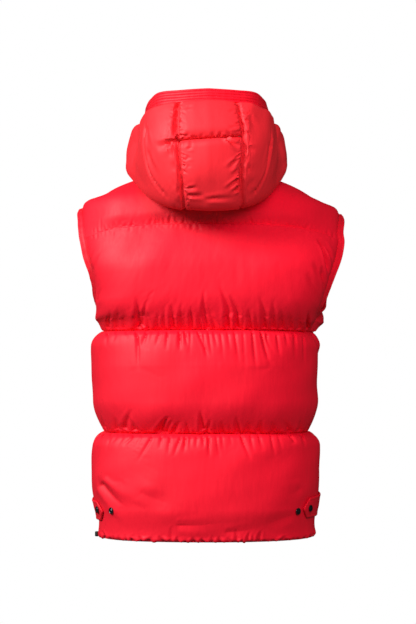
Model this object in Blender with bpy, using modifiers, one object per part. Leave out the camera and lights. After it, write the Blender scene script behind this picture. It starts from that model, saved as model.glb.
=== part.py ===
"""Hooded puffer vest (gilet), worn: padded body pieces quilted in three rows,
hood hanging behind the neck, stand collar, armhole bands, side tabs with snaps
and a front zip.  Metres, +Z up, the front faces -Y, +X is the wearer's left.
The origin is between the shoulders at the base of the neck."""

import bpy
import bmesh
from mathutils import Matrix, Vector

for old in list(bpy.data.objects):
    bpy.data.objects.remove(old, do_unlink=True)

import math

MM = 0.001

# ---------------------------------------------------------------- sizes (mm)
GAP = 0.3                 # space between two pieces at a seam
SEAM_OUT = 1.9            # shell side of a sewn edge, from the seam surface
SEAM_IN = 1.2             # lining side of a sewn edge
ZIP_HALF = 9.3            # centre line to the front panels' edges
NECK_GAP = 1.4            # hood and collar start this far above the neckline
ARM_LOW = 2.12            # row where the armhole starts
ARM_TOP = 3.3             # row of the shoulder tip
BAND_WIDE = 23.0          # hood edge band

# Rings of the body, from the hem (0) through the three quilting seams (1, 2, 3)
# to the neckline (4).  z at the middle of the back, at the two sides and at the
# middle of the front; half widths; depths; squareness of the ring.
TORSO_COLUMNS = ("row", "z_back", "z_left", "z_right", "z_front",
                 "wide_left", "wide_right", "deep_back", "deep_front", "square")
TORSO = (
    (0.00, -648, -651, -650, -650, 183, 181, 118, 124, 2.30),
    (0.28, -596, -598, -597, -598, 173, 167, 119, 125, 2.33),
    (0.50, -555, -557, -556, -557, 180, 171, 121, 127, 2.35),
    (1.00, -459, -461, -461, -463, 180, 174, 123, 130, 2.40),
    (1.50, -369, -371, -371, -375, 179, 168, 127, 133, 2.50),
    (2.00, -278, -281, -281, -288, 185, 182, 130, 135, 2.60),
    (2.12, -256, -259, -259, -268, 186, 192, 131, 135, 2.65),
    (2.30, -223, -225, -228, -240, 203, 219, 131, 135, 2.80),
    (2.55, -178, -187, -190, -205, 222, 245, 131, 134, 2.95),
    (2.80, -131, -154, -158, -168, 235, 255, 129, 132, 3.00),
    (3.00,  -95, -124, -132, -138, 237, 253, 127, 129, 3.00),
    (3.15,  -80,  -88,  -98, -121, 229, 240, 124, 125, 2.85),
    (3.30,  -64,  -58,  -68, -103, 218, 227, 119, 119, 2.65),
    (3.50,  -42,  -51,  -59,  -82, 186, 191, 111, 110, 2.45),
    (3.75,  -18,  -23,  -26,  -62, 131, 132,  98,  98, 2.25),
    (4.00,    5,    4,    3,  -46,  86,  86,  82,  87, 2.10),
)

# Where the back and front pieces end, as angles from the middle of the back.
SIDE_COLUMNS = ("row", "left", "right")
SIDE_SEAMS = (
    (0.00,  98, 91),
    (0.50,  99, 91),
    (1.00, 100, 90),
    (1.50,  98, 88),
    (1.80,  97, 83),
    (2.00,  96, 76),
    (2.12,  95, 75),
)
ARM_COLUMNS = ("row", "back_left", "back_right", "front_left", "front_right")
ARMHOLES = (
    (2.12,  95,  75,  95,  75),
    (2.20,  80,  70, 108,  98),
    (2.35,  70,  67, 114, 111),
    (2.55,  66,  66, 115, 114),
    (2.80,  67,  68, 114, 114),
    (3.00,  69,  70, 112, 112),
    (3.12,  73,  73, 108, 109),
    (3.22,  79,  80, 102, 103),
    (3.30,  90,  90,  90,  90),
)

# Sections of the hood and collar, by angle from the middle of the back to the
# middle of the front: radius from the neck's axis and height of each level.
HOOD_COLUMNS = ("angle", "stand_r", "stand_z", "arch_r", "arch_z", "under_r", "under_z",
                "heel_r", "heel_z", "belly_r", "belly_z", "mid_r", "mid_z",
                "crown_r", "crown_z", "rim_r", "rim_z")
HOOD = (
    (0,   80,  22,  97,  34, 150,   6, 203, -60, 233, -22, 241, 42, 226, 86, 206, 111),
    (14,  81,  22,  98,  34, 147,   8, 199, -58, 229, -20, 237, 42, 222, 84, 203, 109),
    (25,  82,  21,  99,  33, 141,  12, 186, -48, 208, -14, 216, 42, 207, 80, 195, 107),
    (35,  83,  20,  99,  33, 136,  18, 172, -34, 182,  -2, 179, 44, 176, 78, 171,  99),
    (46,  84,  19,  98,  31, 128,  22, 160, -17, 157,   9, 146, 46, 147, 74, 145,  93),
    (60,  85,  18,  98,  29, 119,  24, 145,   1, 144,  21, 138, 48, 135, 72, 127,  88),
    (78,  87,  17,  97,  27, 112,  24, 131,   9, 132,  26, 130, 47, 123, 69, 113,  83),
    (98,  89,  14,  99,  24, 110,  24, 121,  13, 126,  28, 124, 46, 114, 64, 103,  74),
    (118, 92,   0,  99,  10, 104,  19, 108,  27, 110,  36, 109, 45, 105, 54, 100,  62),
    (140, 93, -18,  98,  -7, 102,   3, 105,  12, 106,  21, 106, 30, 104, 39, 102,  47),
    (160, 93, -32,  97, -22, 100, -12, 103,  -3, 105,   7, 106, 17, 106, 27, 105,  36),
    (180, 93, -35,  97, -25, 100, -15, 103,  -5, 105,   5, 106, 14, 107, 23, 107,  31),
)
HOOD_LEAN = 0.045          # the hood hangs a little narrower on the wearer's right
HOOD_LEVELS = (0.0, 0.10, 0.20, 0.36, 0.50, 0.62, 0.76, 0.89, 1.0)

# Seams of the hood by level: the centre panel's two sides, as angles.
HOOD_SEAM_COLUMNS = ("level", "left", "right")
HOOD_SEAMS = (
    (0.00, 22.0, 22.0),
    (0.20, 18.0, 18.0),
    (0.36, 13.5, 15.5),
    (0.50, 11.0, 15.5),
    (0.62, 10.2, 12.6),
    (0.76, 11.6, 13.2),
    (0.89, 12.4, 12.6),
    (1.00, 13.2, 13.0),
)
COLLAR_ANGLE = 118.0


# ---------------------------------------------------------------- curves
def spline(knots, values, t):
    """Smooth curve through the values at the knots."""
    n = len(knots)
    if t <= knots[0]:
        i = 0
    elif t >= knots[-1]:
        i = n - 2
    else:
        i = 0
        while t > knots[i + 1]:
            i += 1
    h = knots[i + 1] - knots[i]
    d = (values[i + 1] - values[i]) / h

    def slope(k):
        if k == 0:
            return (values[1] - values[0]) / (knots[1] - knots[0])
        if k == n - 1:
            return (values[-1] - values[-2]) / (knots[-1] - knots[-2])
        h0 = knots[k] - knots[k - 1]
        h1 = knots[k + 1] - knots[k]
        d0 = (values[k] - values[k - 1]) / h0
        d1 = (values[k + 1] - values[k]) / h1
        return (d0 * h1 + d1 * h0) / (h0 + h1)

    m0, m1 = slope(i), slope(i + 1)
    s = (t - knots[i]) / h
    if s < 0.0:
        return values[i] + m0 * h * s
    if s > 1.0:
        return values[i + 1] + m1 * h * (s - 1.0)
    return (values[i] * (1 + 2 * s) * (1 - s) ** 2 + values[i + 1] * s * s * (3 - 2 * s)
            + m0 * h * s * (1 - s) ** 2 + m1 * h * s * s * (s - 1))


def table(rows, columns):
    keys = [r[0] for r in rows]
    data = {c: [r[k] for r in rows] for k, c in enumerate(columns)}
    return lambda name, t: spline(keys, data[name], t)


torso = table(TORSO, TORSO_COLUMNS)
side_seam = table(SIDE_SEAMS, SIDE_COLUMNS)
armhole = table(ARMHOLES, ARM_COLUMNS)
hood = table(HOOD, HOOD_COLUMNS)
hood_seams = table(HOOD_SEAMS, HOOD_SEAM_COLUMNS)


def edge_angle(name, row):
    """Where a piece ends at this row: the side seam, then its edge of the
    armhole, then the shoulder seam at 90 degrees."""
    if row >= ARM_TOP:
        return 90.0
    return side_seam(name.split("_")[1], row) if row <= ARM_LOW else armhole(name, row)


def smooth(t):
    t = min(1.0, max(0.0, t))
    return t * t * (3 - 2 * t)


# ---------------------------------------------------------------- vectors
def add(a, b, k=1.0):
    return (a[0] + b[0] * k, a[1] + b[1] * k, a[2] + b[2] * k)


def sub(a, b):
    return (a[0] - b[0], a[1] - b[1], a[2] - b[2])


def dot(a, b):
    return a[0] * b[0] + a[1] * b[1] + a[2] * b[2]


def cross(a, b):
    return (a[1] * b[2] - a[2] * b[1], a[2] * b[0] - a[0] * b[2], a[0] * b[1] - a[1] * b[0])


def length(a):
    return math.sqrt(dot(a, a))


def unit(a):
    d = length(a) or 1.0
    return (a[0] / d, a[1] / d, a[2] / d)


# ---------------------------------------------------------------- body surface
def torso_point(angle, row):
    """Point on the body's seam surface: angle from the middle of the back,
    positive to the wearer's left, and row up the body (mm)."""
    a = math.radians(angle)
    sn, cs = math.sin(a), math.cos(a)
    side = "left" if sn >= 0 else "right"
    wide = torso("wide_" + side, row)
    deep = torso("deep_back" if cs >= 0 else "deep_front", row)
    n = torso("square", row)
    r = (abs(cs / deep) ** n + abs(sn / wide) ** n) ** (-1.0 / n)
    x, y = r * sn, r * cs
    s = min(1.0, abs(x) / wide)
    z_mid = torso("z_back" if cs >= 0 else "z_front", row)
    z_side = torso("z_" + side, row)
    return (x, y, z_side + (z_mid - z_side) * (1.0 - s ** 3))


def hood_point(angle, level):
    """Point on the hood's and collar's seam surface (mm): angle from the middle
    of the back, level from the neckline (0) to the edge band's seam (1)."""
    mag = min(180.0, abs(angle))
    a = math.radians(angle)
    names = ("stand", "arch", "under", "heel", "belly", "mid", "crown", "rim")
    base = torso_point(angle, 4.0)
    up = unit(sub(base, torso_point(angle, 3.97)))
    base = add(base, up, NECK_GAP)
    rs = [math.hypot(base[0], base[1])] + [hood(nm + "_r", mag) for nm in names]
    zs = [base[2]] + [hood(nm + "_z", mag) for nm in names]
    r = spline(HOOD_LEVELS, rs, level)
    z = spline(HOOD_LEVELS, zs, level)
    if angle < 0:
        r *= 1.0 + HOOD_LEAN * math.sin(a) * smooth((level - 0.3) / 0.25) * (1.0 - smooth((-angle - 95.0) / 40.0))
    return (r * math.sin(a), r * math.cos(a), z)


def frame_of(point, angle, row, low=None, high=None, da=0.6, dr=0.012):
    """Point, outward normal, tangent round the body (towards +angle) and
    tangent up the body."""
    r0, r1 = row - dr, row + dr
    if low is not None:
        r0 = max(low, r0)
    if high is not None:
        r1 = min(high, r1)
    p = point(angle, row)
    ta = sub(point(angle + da, row), point(angle - da, row))
    tr = sub(point(angle, r1), point(angle, r0))
    n = unit(cross(tr, ta))
    out = (math.sin(math.radians(angle)), math.cos(math.radians(angle)), 0.0)
    return p, n, unit(ta), unit(tr)

# ---------------------------------------------------------------- padded pieces
# Fill of the padded pieces (mm): height of the shell above the seam surface,
# depth of the lining below it, and how far from each edge the fill is full.
PANEL_COLUMNS = ("name", "part", "low", "high", "puff", "lining",
                 "round_low", "round_high", "round_side", "seam_fill")
PANELS = (
    ("back_lower",   "back",  0.0, 1.0, 27, 5, 50, 25, 26, 0.35),
    ("back_middle",  "back",  1.0, 2.0, 27, 5, 62, 26, 26, 0.35),
    ("back_upper",   "back",  2.0, 3.0, 27, 5, 66, 44, 80, 0.00),
    ("back_yoke",    "back",  3.0, 4.0, 18, 4, 36, 140, 80, 0.00),
    ("front_lower",  "front", 0.0, 1.0, 26, 5, 50, 25, 26, 0.35),
    ("front_middle", "front", 1.0, 2.0, 26, 5, 62, 26, 26, 0.35),
    ("front_upper",  "front", 2.0, 3.0, 24, 5, 62, 44, 60, 0.00),
    ("front_yoke",   "front", 3.0, 4.0, 16, 4, 40, 80, 60, 0.00),
)
SHOULDER_FILL = 5.0       # fill left along the shoulder seam
HEM_FILL = 0.55           # share of the fill kept right down to the hem
SHOULDER_THIN = 0.66      # share of the fill missing over the shoulder tips
YOKE_SEAM_FILL = {        # share of the fill kept right up to the shallow yoke seam
    "back_yoke": 0.80, "back_upper": 0.56, "front_yoke": 0.80, "front_upper": 0.56}
HOOD_PUFF, HOOD_UNDER, HOOD_LINING = 15.0, 6.0, 5.0
HOOD_SEAM_LEVEL, HOOD_SEAM_TILT = 0.766, -0.012
COLLAR_PUFF = 12.0


def rise(t):
    """Fill near a sewn edge: steep at the seam, level one rounding away."""
    t = min(1.0, max(0.0, t))
    return (1.0 - (1.0 - t) ** 2.2) ** 0.62


def ease(t):
    """Fill near the neckline, where two pieces fold against each other."""
    t = min(1.0, max(0.0, t))
    return t * (2.0 - t)


def hem_up(d):
    """Fill of the lowest pieces, d above the hem: hardly less at its edge."""
    return HEM_FILL * (0.55 + 0.45 * rise(d / 7.0)) + (1.0 - HEM_FILL) * smooth(d / 60.0)


def belly(d, reach):
    """Fill over a lower seam: the cloth leans out from it and turns slowly."""
    return 0.14 * rise(d / 5.0) + 0.86 * ease(d / (0.95 * reach))


def row_length(angle, low, high, point):
    pts = [point(angle, low + (high - low) * k / 8.0) for k in range(9)]
    return sum(length(sub(b, a)) for a, b in zip(pts, pts[1:]))


def panel_range(part, side, row):
    """First and last angle of a body piece at this row."""
    if part == "back":
        return -edge_angle("back_right", row), edge_angle("back_left", row)
    end = 180.0 - math.degrees(math.asin(ZIP_HALF / torso("deep_front", row)))
    if side == "left":
        return edge_angle("front_left", row), end
    return -end, -edge_angle("front_right", row)


def body_fill(spec, side, a, row):
    """Height of the fill of a body piece, a across from 0 to 1, and the share
    of it that the lining side takes."""
    part, low, high = spec["part"], spec["low"], spec["high"]
    first, last = panel_range(part, side, row)
    angle = first + (last - first) * a
    b = (row - low) / (high - low)
    span = row_length(angle, low, high, torso_point)
    top = ease if high == 4.0 else rise
    low_up, high_up = rise(b * span / spec["round_low"]), top((1 - b) * span / spec["round_high"])
    if low == 0.0:
        low_up = hem_up(b * span)
    elif low < 3.0:
        low_up = belly(b * span, spec["round_low"])
    if spec["name"] in YOKE_SEAM_FILL:
        kept = YOKE_SEAM_FILL[spec["name"]]
        if low == 3.0:
            low_up = kept * (0.56 + 0.44 * smooth(b * span / 24.0)) + (1 - kept) * smooth(b * span / 60.0)
        else:
            high_up = kept * (0.84 + 0.16 * rise((1 - b) * span / 3.0)) + (1 - kept) * smooth((1 - b) * span / 75.0)
    up = low_up * high_up
    if spec["name"] in ("back_upper", "back_middle"):      # they stand deepest over the middle of the back
        up *= 1.0 + 0.15 * smooth((80.0 - abs(angle)) / 45.0) * min(1.0, (1.0 - b) * span / 60.0)
    up *= 0.88 + 0.12 * math.sin(math.pi * min(1.0, max(0.0, b)))
    p = torso_point(angle, row)
    d0 = length(sub(p, torso_point(first, row)))
    d1 = length(sub(p, torso_point(last, row)))
    floor0 = floor1 = spec["seam_fill"]
    if spec["high"] == 4.0 and row > ARM_TOP:
        ridge = SHOULDER_FILL / spec["puff"] * math.sin(math.pi * (row - ARM_TOP) / (4.0 - ARM_TOP)) ** 0.6
        floor0 = floor1 = ridge / max(up, 0.2)
    elif spec["low"] == 2.0:
        floor0 = floor1 = 0.35 * (1.0 - smooth((row - 2.0) / 0.12))
    if part == "front" and side == "left":
        floor1 = 0.0
    if part == "front" and side == "right":
        floor0 = 0.0
    r0, r1 = rise(d0 / spec["round_side"]), rise(d1 / spec["round_side"])
    across = (floor0 + (1 - floor0) * r0) * (floor1 + (1 - floor1) * r1)
    thin = 1.0 - SHOULDER_THIN * smooth((abs(p[0]) - 145.0) / 75.0) * smooth((row - 2.85) / 0.25)
    return angle, up * across * thin


def body_shell(spec, side, a, row, proud=0.0):
    """Shell point, lining point and normal of a body piece (mm)."""
    angle, fill = body_fill(spec, side, a, row)
    p, n, ta, tr = frame_of(torso_point, angle, row, 0.0, 4.0)
    return (add(p, n, SEAM_OUT + spec["puff"] * fill + proud),
            add(p, n, -SEAM_IN - spec["lining"] * fill), n)


def hood_range(piece, side, level):
    if piece == "centre":
        return -hood_seams("right", level), hood_seams("left", level)
    first = hood_seams(side, level)
    last = COLLAR_ANGLE
    if piece == "collar":
        first = COLLAR_ANGLE
        last = 180.0 - math.degrees(math.asin(ZIP_HALF / length(hood_point(180.0, level)[:2] + (0.0,))))
    return (first, last) if side == "left" else (-last, -first)


def hood_fill(piece, side, a, level, low, high):
    first, last = hood_range(piece, side, level)
    angle = first + (last - first) * a
    b = (level - low) / (high - low)
    span = row_length(angle, low, high, hood_point)
    up = (ease(b * span / 60.0) if low == 0.0 else rise(b * span / 26.0)) * rise((1 - b) * span / 24.0)
    p = hood_point(angle, level)
    d0 = length(sub(p, hood_point(first, level)))
    d1 = length(sub(p, hood_point(last, level)))
    wide = 26.0 if piece != "collar" else 22.0
    across = rise(d0 / wide) * rise(d1 / wide)
    fold = math.exp(-((abs(angle) - 44.0) / 9.0) ** 2) * smooth((level - 0.35) / 0.2)
    full = HOOD_UNDER + (HOOD_PUFF - HOOD_UNDER) * smooth((level - 0.40) / 0.16)
    if abs(angle) > 100.0:
        full += (COLLAR_PUFF - full) * smooth((abs(angle) - 100.0) / 25.0)
    return angle, up * across, full * (1.0 - 0.45 * fold)


def hood_shell(piece, side, a, level, low=0.0, high=1.0, proud=0.0):
    angle, fill, full = hood_fill(piece, side, a, level, low, high)
    p, n, ta, tr = frame_of(hood_point, angle, level, 0.0, 1.0)
    if level < 0.05:                      # the sewn edge lies along the neckline
        edge = frame_of(torso_point, angle, 4.0, 0.0, 4.0)[1]
        n = unit(add(tuple(c * level / 0.05 for c in n), edge, 1.0 - level / 0.05))
    under = 0.25 + 0.75 * smooth((level - 0.30) / 0.2)
    return (add(p, n, SEAM_OUT + full * fill + proud),
            add(p, n, -SEAM_IN - HOOD_LINING * under * fill), n)


def hood_cut(a):
    """Level of the centre panel's cross seam, a across from right to left."""
    return HOOD_SEAM_LEVEL + HOOD_SEAM_TILT * (2 * a - 1)

# ---------------------------------------------------------------- scene setup
VEST = bpy.data.collections.new("puffer_vest")
CUTTERS = bpy.data.collections.new("cutters")
bpy.context.scene.collection.children.link(VEST)
bpy.context.scene.collection.children.link(CUTTERS)

FINISHES = {                       # colour, roughness, metallic
    "shell":   ((0.80, 0.015, 0.035, 1.0), 0.45, 0.0),
    "tape":    ((0.55, 0.010, 0.025, 1.0), 0.80, 0.0),
    "snap":    ((0.012, 0.014, 0.014, 1.0), 0.35, 0.6),
    "zip":     ((0.020, 0.020, 0.022, 1.0), 0.40, 0.3),
    "stopper": ((0.015, 0.030, 0.022, 1.0), 0.50, 0.0),
}


def material(name, finish):
    m = bpy.data.materials.new(name)
    m.use_nodes = True
    shader = m.node_tree.nodes["Principled BSDF"]
    colour, rough, metal = FINISHES[finish]
    shader.inputs["Base Color"].default_value = colour
    shader.inputs["Roughness"].default_value = rough
    shader.inputs["Metallic"].default_value = metal
    m.diffuse_color = colour
    return m


def place(name, mesh, finish, collection=None):
    obj = bpy.data.objects.new(name, mesh)
    (collection or VEST).objects.link(obj)
    if finish:
        mesh.materials.append(material(name + "_finish", finish))
    return obj


def solid_from(bm, name, finish):
    bmesh.ops.recalc_face_normals(bm, faces=bm.faces)
    mesh = bpy.data.meshes.new(name)
    bm.to_mesh(mesh)
    bm.free()
    mesh.shade_smooth()
    mesh.set_sharp_from_angle(angle=math.radians(50))
    return place(name, mesh, finish)


def padded(name, rows, columns, pair, finish="shell"):
    """Closed wall between a shell grid and a lining grid; pair(row, column)
    gives the two points in mm."""
    bm = bmesh.new()
    shell, lining = [], []
    for r in rows:
        outer, inner = [], []
        for c in columns:
            p, q = pair(r, c)
            outer.append(bm.verts.new([v * MM for v in p]))
            inner.append(bm.verts.new([v * MM for v in q]))
        shell.append(outer)
        lining.append(inner)
    nr, nc = len(rows), len(columns)
    for i in range(nr - 1):
        for j in range(nc - 1):
            for grid in (shell, lining):
                a, b, c, d = grid[i][j], grid[i][j + 1], grid[i + 1][j + 1], grid[i + 1][j]
                if (a.co - c.co).length <= (b.co - d.co).length:   # split along the shorter diagonal
                    bm.faces.new((a, b, c))
                    bm.faces.new((a, c, d))
                else:
                    bm.faces.new((a, b, d))
                    bm.faces.new((b, c, d))
    for i in range(nr - 1):
        for j in (0, nc - 1):
            bm.faces.new((shell[i][j], shell[i + 1][j], lining[i + 1][j], lining[i][j]))
    for j in range(nc - 1):
        for i in (0, nr - 1):
            bm.faces.new((shell[i][j], shell[i][j + 1], lining[i][j + 1], lining[i][j]))
    return solid_from(bm, name, finish)


def swept(name, sections, closed, finish):
    """Loft through sections of equal point count, in mm; closed joins the ends."""
    bm = bmesh.new()
    rings = [[bm.verts.new([v * MM for v in p]) for p in s] for s in sections]
    n = len(rings[0])
    pairs = list(zip(rings, rings[1:])) + ([(rings[-1], rings[0])] if closed else [])
    for a, b in pairs:
        for k in range(n):
            bm.faces.new((a[k], a[(k + 1) % n], b[(k + 1) % n], b[k]))
    if not closed:
        bm.faces.new(rings[0])
        bm.faces.new(rings[-1])
    return solid_from(bm, name, finish)


# ---------------------------------------------------------------- body pieces
BACK_COLUMNS = (0.0, 0.022, 0.06, 0.13, 0.23, 0.34, 0.45, 0.55, 0.66, 0.77, 0.87, 0.94, 0.978, 1.0)
FRONT_COLUMNS = (0.0, 0.05, 0.14, 0.30, 0.50, 0.70, 0.86, 0.95, 1.0)
BAFFLE_ROWS = (0.0, 0.04, 0.12, 0.28, 0.50, 0.72, 0.88, 0.96, 1.0)
CHEST_ROWS = (0.0, 0.05, 0.12, 0.155, 0.20, 0.27, 0.36, 0.50, 0.66, 0.82, 0.94, 1.0)
YOKE_ROWS = (0.0, 0.05, 0.13, 0.19, 0.25, 0.30, 0.50, 0.75, 1.0)


def body_piece(spec, side):
    part, low, high = spec["part"], spec["low"], spec["high"]
    marks = {2.0: CHEST_ROWS, 3.0: YOKE_ROWS}.get(low, BAFFLE_ROWS)
    rows = [low + (high - low) * m for m in marks]
    for k, sign in ((0, 1.0), (-1, -1.0)):
        if rows[k] not in (0.0, 4.0):          # half of the gap at each quilting seam
            p, q = torso_point(30.0, rows[k] - 0.01), torso_point(30.0, rows[k] + 0.01)
            rows[k] += sign * 0.5 * GAP * 0.02 / length(sub(q, p))
    columns = BACK_COLUMNS if part == "back" else FRONT_COLUMNS

    def pair(row, a):
        first, last = panel_range(part, side, row)
        arc = length(sub(torso_point(first + 1.0, row), torso_point(first, row)))
        inset = 0.5 * GAP / arc / (last - first)
        zip_side = part == "front" and ((side == "left" and a == 1.0) or (side == "right" and a == 0.0))
        if not zip_side:
            a = inset if a == 0.0 else (1.0 - inset if a == 1.0 else a)
        inside = min(high - 1e-6, max(low + 1e-6, row))
        outer, inner, _ = body_shell(spec, side, a, inside)
        return outer, inner

    order = columns if side != "right" else tuple(1.0 - c for c in reversed(columns))
    name = spec["name"] if part == "back" else spec["name"] + "_" + side
    return padded(name, rows, order, pair)


SPECS = [dict(zip(PANEL_COLUMNS, row)) for row in PANELS]
for spec in SPECS:
    if spec["part"] == "back":
        body_piece(spec, "back")
    else:
        body_piece(spec, "left")
        body_piece(spec, "right")

# ---------------------------------------------------------------- hood and collar
HOOD_ROWS = (0.0, 0.05, 0.12, 0.20, 0.30, 0.40, 0.50, 0.62, HOOD_SEAM_LEVEL, 0.89, 0.965, 1.0)
CENTRE_ACROSS = (0.0, 0.16, 0.5, 0.84, 1.0)
SIDE_ACROSS = (0.0, 0.05, 0.13, 0.22, 0.32, 0.42, 0.54, 0.68, 0.83, 0.94, 1.0)
COLLAR_ACROSS = (0.0, 0.12, 0.38, 0.64, 0.88, 1.0)
RIM_TRIM = 0.0016          # half a gap, in levels


def hood_inset(piece, side, level, a):
    first, last = hood_range(piece, side, level)
    arc = length(sub(hood_point(first + 1.0, level), hood_point(first, level)))
    inset = 0.5 * GAP / arc / (last - first)
    zip_edge = piece == "collar" and ((side == "left" and a == 1.0) or (side == "right" and a == 0.0))
    if zip_edge:
        return a
    return inset if a == 0.0 else (1.0 - inset if a == 1.0 else a)


def hood_piece(name, piece, side, rows, across):
    def pair(row, a):
        outer, inner, _ = hood_shell(piece, side, hood_inset(piece, side, row, a), row)
        return outer, inner
    return padded(name, rows, across, pair)


def centre_piece(name, lower):
    marks = [r for r in HOOD_ROWS if r < HOOD_SEAM_LEVEL] + [None] if lower else \
        [None] + [r for r in HOOD_ROWS if r > HOOD_SEAM_LEVEL]

    def pair(mark, a):
        cut = hood_cut(a)
        low, high = (0.0, cut) if lower else (cut, 1.0)
        row = mark if mark is not None else (cut - RIM_TRIM if lower else cut + RIM_TRIM)
        outer, inner, _ = hood_shell("centre", "", hood_inset("centre", "", row, a), row,
                                     low if not lower else 0.0, high if lower else 1.0)
        return outer, inner
    return padded(name, marks, CENTRE_ACROSS, pair)


centre_piece("hood_centre_lower", True)
centre_piece("hood_centre_upper", False)
for side in ("left", "right"):
    flip = (lambda t: t) if side == "left" else (lambda t: tuple(1.0 - c for c in reversed(t)))
    hood_piece("hood_side_" + side, "side", side, HOOD_ROWS, flip(SIDE_ACROSS))
    hood_piece("collar_" + side, "collar", side, HOOD_ROWS, flip(COLLAR_ACROSS))

# Edge band of the hood: a stitched strip standing on the rim, from zip to zip.
BAND_SECTION = (            # along the band, across it (mm)
    (0.0, -1.2), (0.0, 1.9), (6.0, 3.0), (18.0, 2.8), (BAND_WIDE, 1.2),
    (BAND_WIDE, -0.6), (17.0, -2.0), (6.0, -2.0))


def band_frame(angle):
    """Start, first direction, run direction and two outward normals of the band."""
    p, n, ta, tr = frame_of(hood_point, angle, 1.0, 0.0, 1.0)
    back = 0.5 + 0.5 * math.cos(math.radians(angle))
    run = unit(add(add((0.0, 0.0, 0.95), tr, 0.30), n, -0.06 * back))
    face = unit(sub(n, tuple(c * dot(n, run) for c in run)))
    return add(p, tr, GAP + 0.15), tr, run, n, face


def band_section(angle, section):
    start, tr, run, n, face = band_frame(angle)
    points = []
    for along, out in section:
        if along < 2.0:
            points.append(add(add(start, tr, along), n, out))
        else:
            points.append(add(add(add(start, tr, 2.0), run, along - 2.0), face, out))
    return points


def rim_angles():
    """Angles of the rim's points, from the right front to the left front."""
    angles = []
    for piece, side, across in (("collar", "left", COLLAR_ACROSS), ("side", "left", SIDE_ACROSS)):
        first, last = hood_range(piece, side, 1.0)
        angles += [first + (last - first) * a for a in across]
    left = sorted(set(round(a, 6) for a in angles))
    first, last = hood_range("centre", "", 1.0)
    centre = [first + (last - first) * a for a in CENTRE_ACROSS]
    first, last = hood_range("side", "right", 1.0)
    right = [first + (last - first) * (1 - a) for a in SIDE_ACROSS]
    first, last = hood_range("collar", "right", 1.0)
    right += [first + (last - first) * (1 - a) for a in COLLAR_ACROSS]
    return sorted(set(round(a, 4) for a in left + centre + right))


swept("hood_edge_band", [band_section(a, BAND_SECTION) for a in rim_angles()], False, "shell")

# ---------------------------------------------------------------- armhole bands
ARM_ROWS = tuple(2.0 + m for m in CHEST_ROWS if m >= 0.12) + \
    tuple(3.0 + m for m in YOKE_ROWS if 0.0 < m < 0.30)
ARM_BAND_WIDE = 14.0
ARM_SECTION = ((0.0, -1.2), (0.0, 1.9), (2.2, 1.9), (ARM_BAND_WIDE, 1.8),
               (ARM_BAND_WIDE, -1.4), (2.2, -1.4))


def armhole_loop(side):
    """Angles and rows round the armhole: up the back edge, down the front edge."""
    sign = 1.0 if side == "left" else -1.0
    back = [(sign * edge_angle("back_" + side, r), r) for r in ARM_ROWS]
    front = [(sign * edge_angle("front_" + side, r), r) for r in ARM_ROWS[1:]]
    return back + [(sign * 90.0, ARM_TOP)] + front[::-1]


def armhole_sections(side, section):
    sign = 1.0 if side == "left" else -1.0
    loop = armhole_loop(side)
    points = [torso_point(a, r) for a, r in loop]
    middle = tuple(sum(p[k] for p in points) / len(points) for k in range(3))
    out = []
    for k, (a, r) in enumerate(loop):
        p, n, ta, tr = frame_of(torso_point, a, r, 0.0, 4.0)
        along = unit(sub(points[(k + 1) % len(points)], points[k - 1]))
        into = unit(cross(n, along))
        if dot(into, sub(middle, p)) < 0:
            into = tuple(-c for c in into)
        out_by = 0.20 + 0.70 * smooth((r - 2.42) / 0.36)       # tucked in under the arm, proud over the shoulder
        in_by = 0.95 - 0.60 * smooth((r - 2.42) / 0.36)
        run = unit(add(tuple(in_by * c for c in into), (sign, 0.0, 0.0), out_by))
        face = unit(sub(n, tuple(c * dot(n, run) for c in run)))
        ring = []
        for s, h in section:
            if s < 2.0:
                ring.append(add(add(p, into, GAP + 0.1 + s), n, h))
            else:
                ring.append(add(add(add(p, into, GAP + 2.3), run, s - 2.0), face, h))
        out.append(ring)
    return out


for side in ("left", "right"):
    swept("armhole_band_" + side, armhole_sections(side, ARM_SECTION), True, "shell")

# ---------------------------------------------------------------- side tabs and snaps
TAB_COLUMNS = ("side", "base_angle", "tip_angle", "row", "base_half", "neck_half", "point")
TABS = (
    ("left",  110.6, 71.2, 0.275, 28.0, 22.5, 15.0),
    ("right", 105.5, 64.4, 0.303, 28.0, 22.5, 15.0),
)
TAB_THICK, TAB_PROUD = 2.6, 1.6
TAB_STATIONS = (0.0, 0.12, 0.25, 0.38, 0.51, 0.64, 0.75, 0.84, 1.0)
TAB_ACROSS = (-1.0, -0.5, 0.0, 0.5, 1.0)
SNAP_COLUMNS = ("name", "angle", "row", "lift")
SNAPS = (
    ("snap_tab_left",    75.2, 0.292, TAB_PROUD + TAB_THICK + 0.4),
    ("snap_body_left",   64.4, 0.296, 0.0),
    ("snap_tab_right",  -69.0, 0.304, TAB_PROUD + TAB_THICK),
    ("snap_body_right", -61.0, 0.277, 0.0),
)
SNAP_RADIUS, SNAP_HIGH = 6.0, 2.6


def skirt_point(angle, row, proud):
    """Smooth outside of the lowest baffle, its side seams bridged."""
    spec = SPECS[0]
    p, n, ta, tr = frame_of(torso_point, angle, row, 0.0, 4.0)
    span = row_length(angle, 0.0, 1.0, torso_point)
    up = hem_up(row * span) * rise((1 - row) * span / spec["round_high"])
    up *= 0.88 + 0.12 * math.sin(math.pi * row)
    return add(p, n, SEAM_OUT + spec["puff"] * up + proud), n, ta, tr


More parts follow.
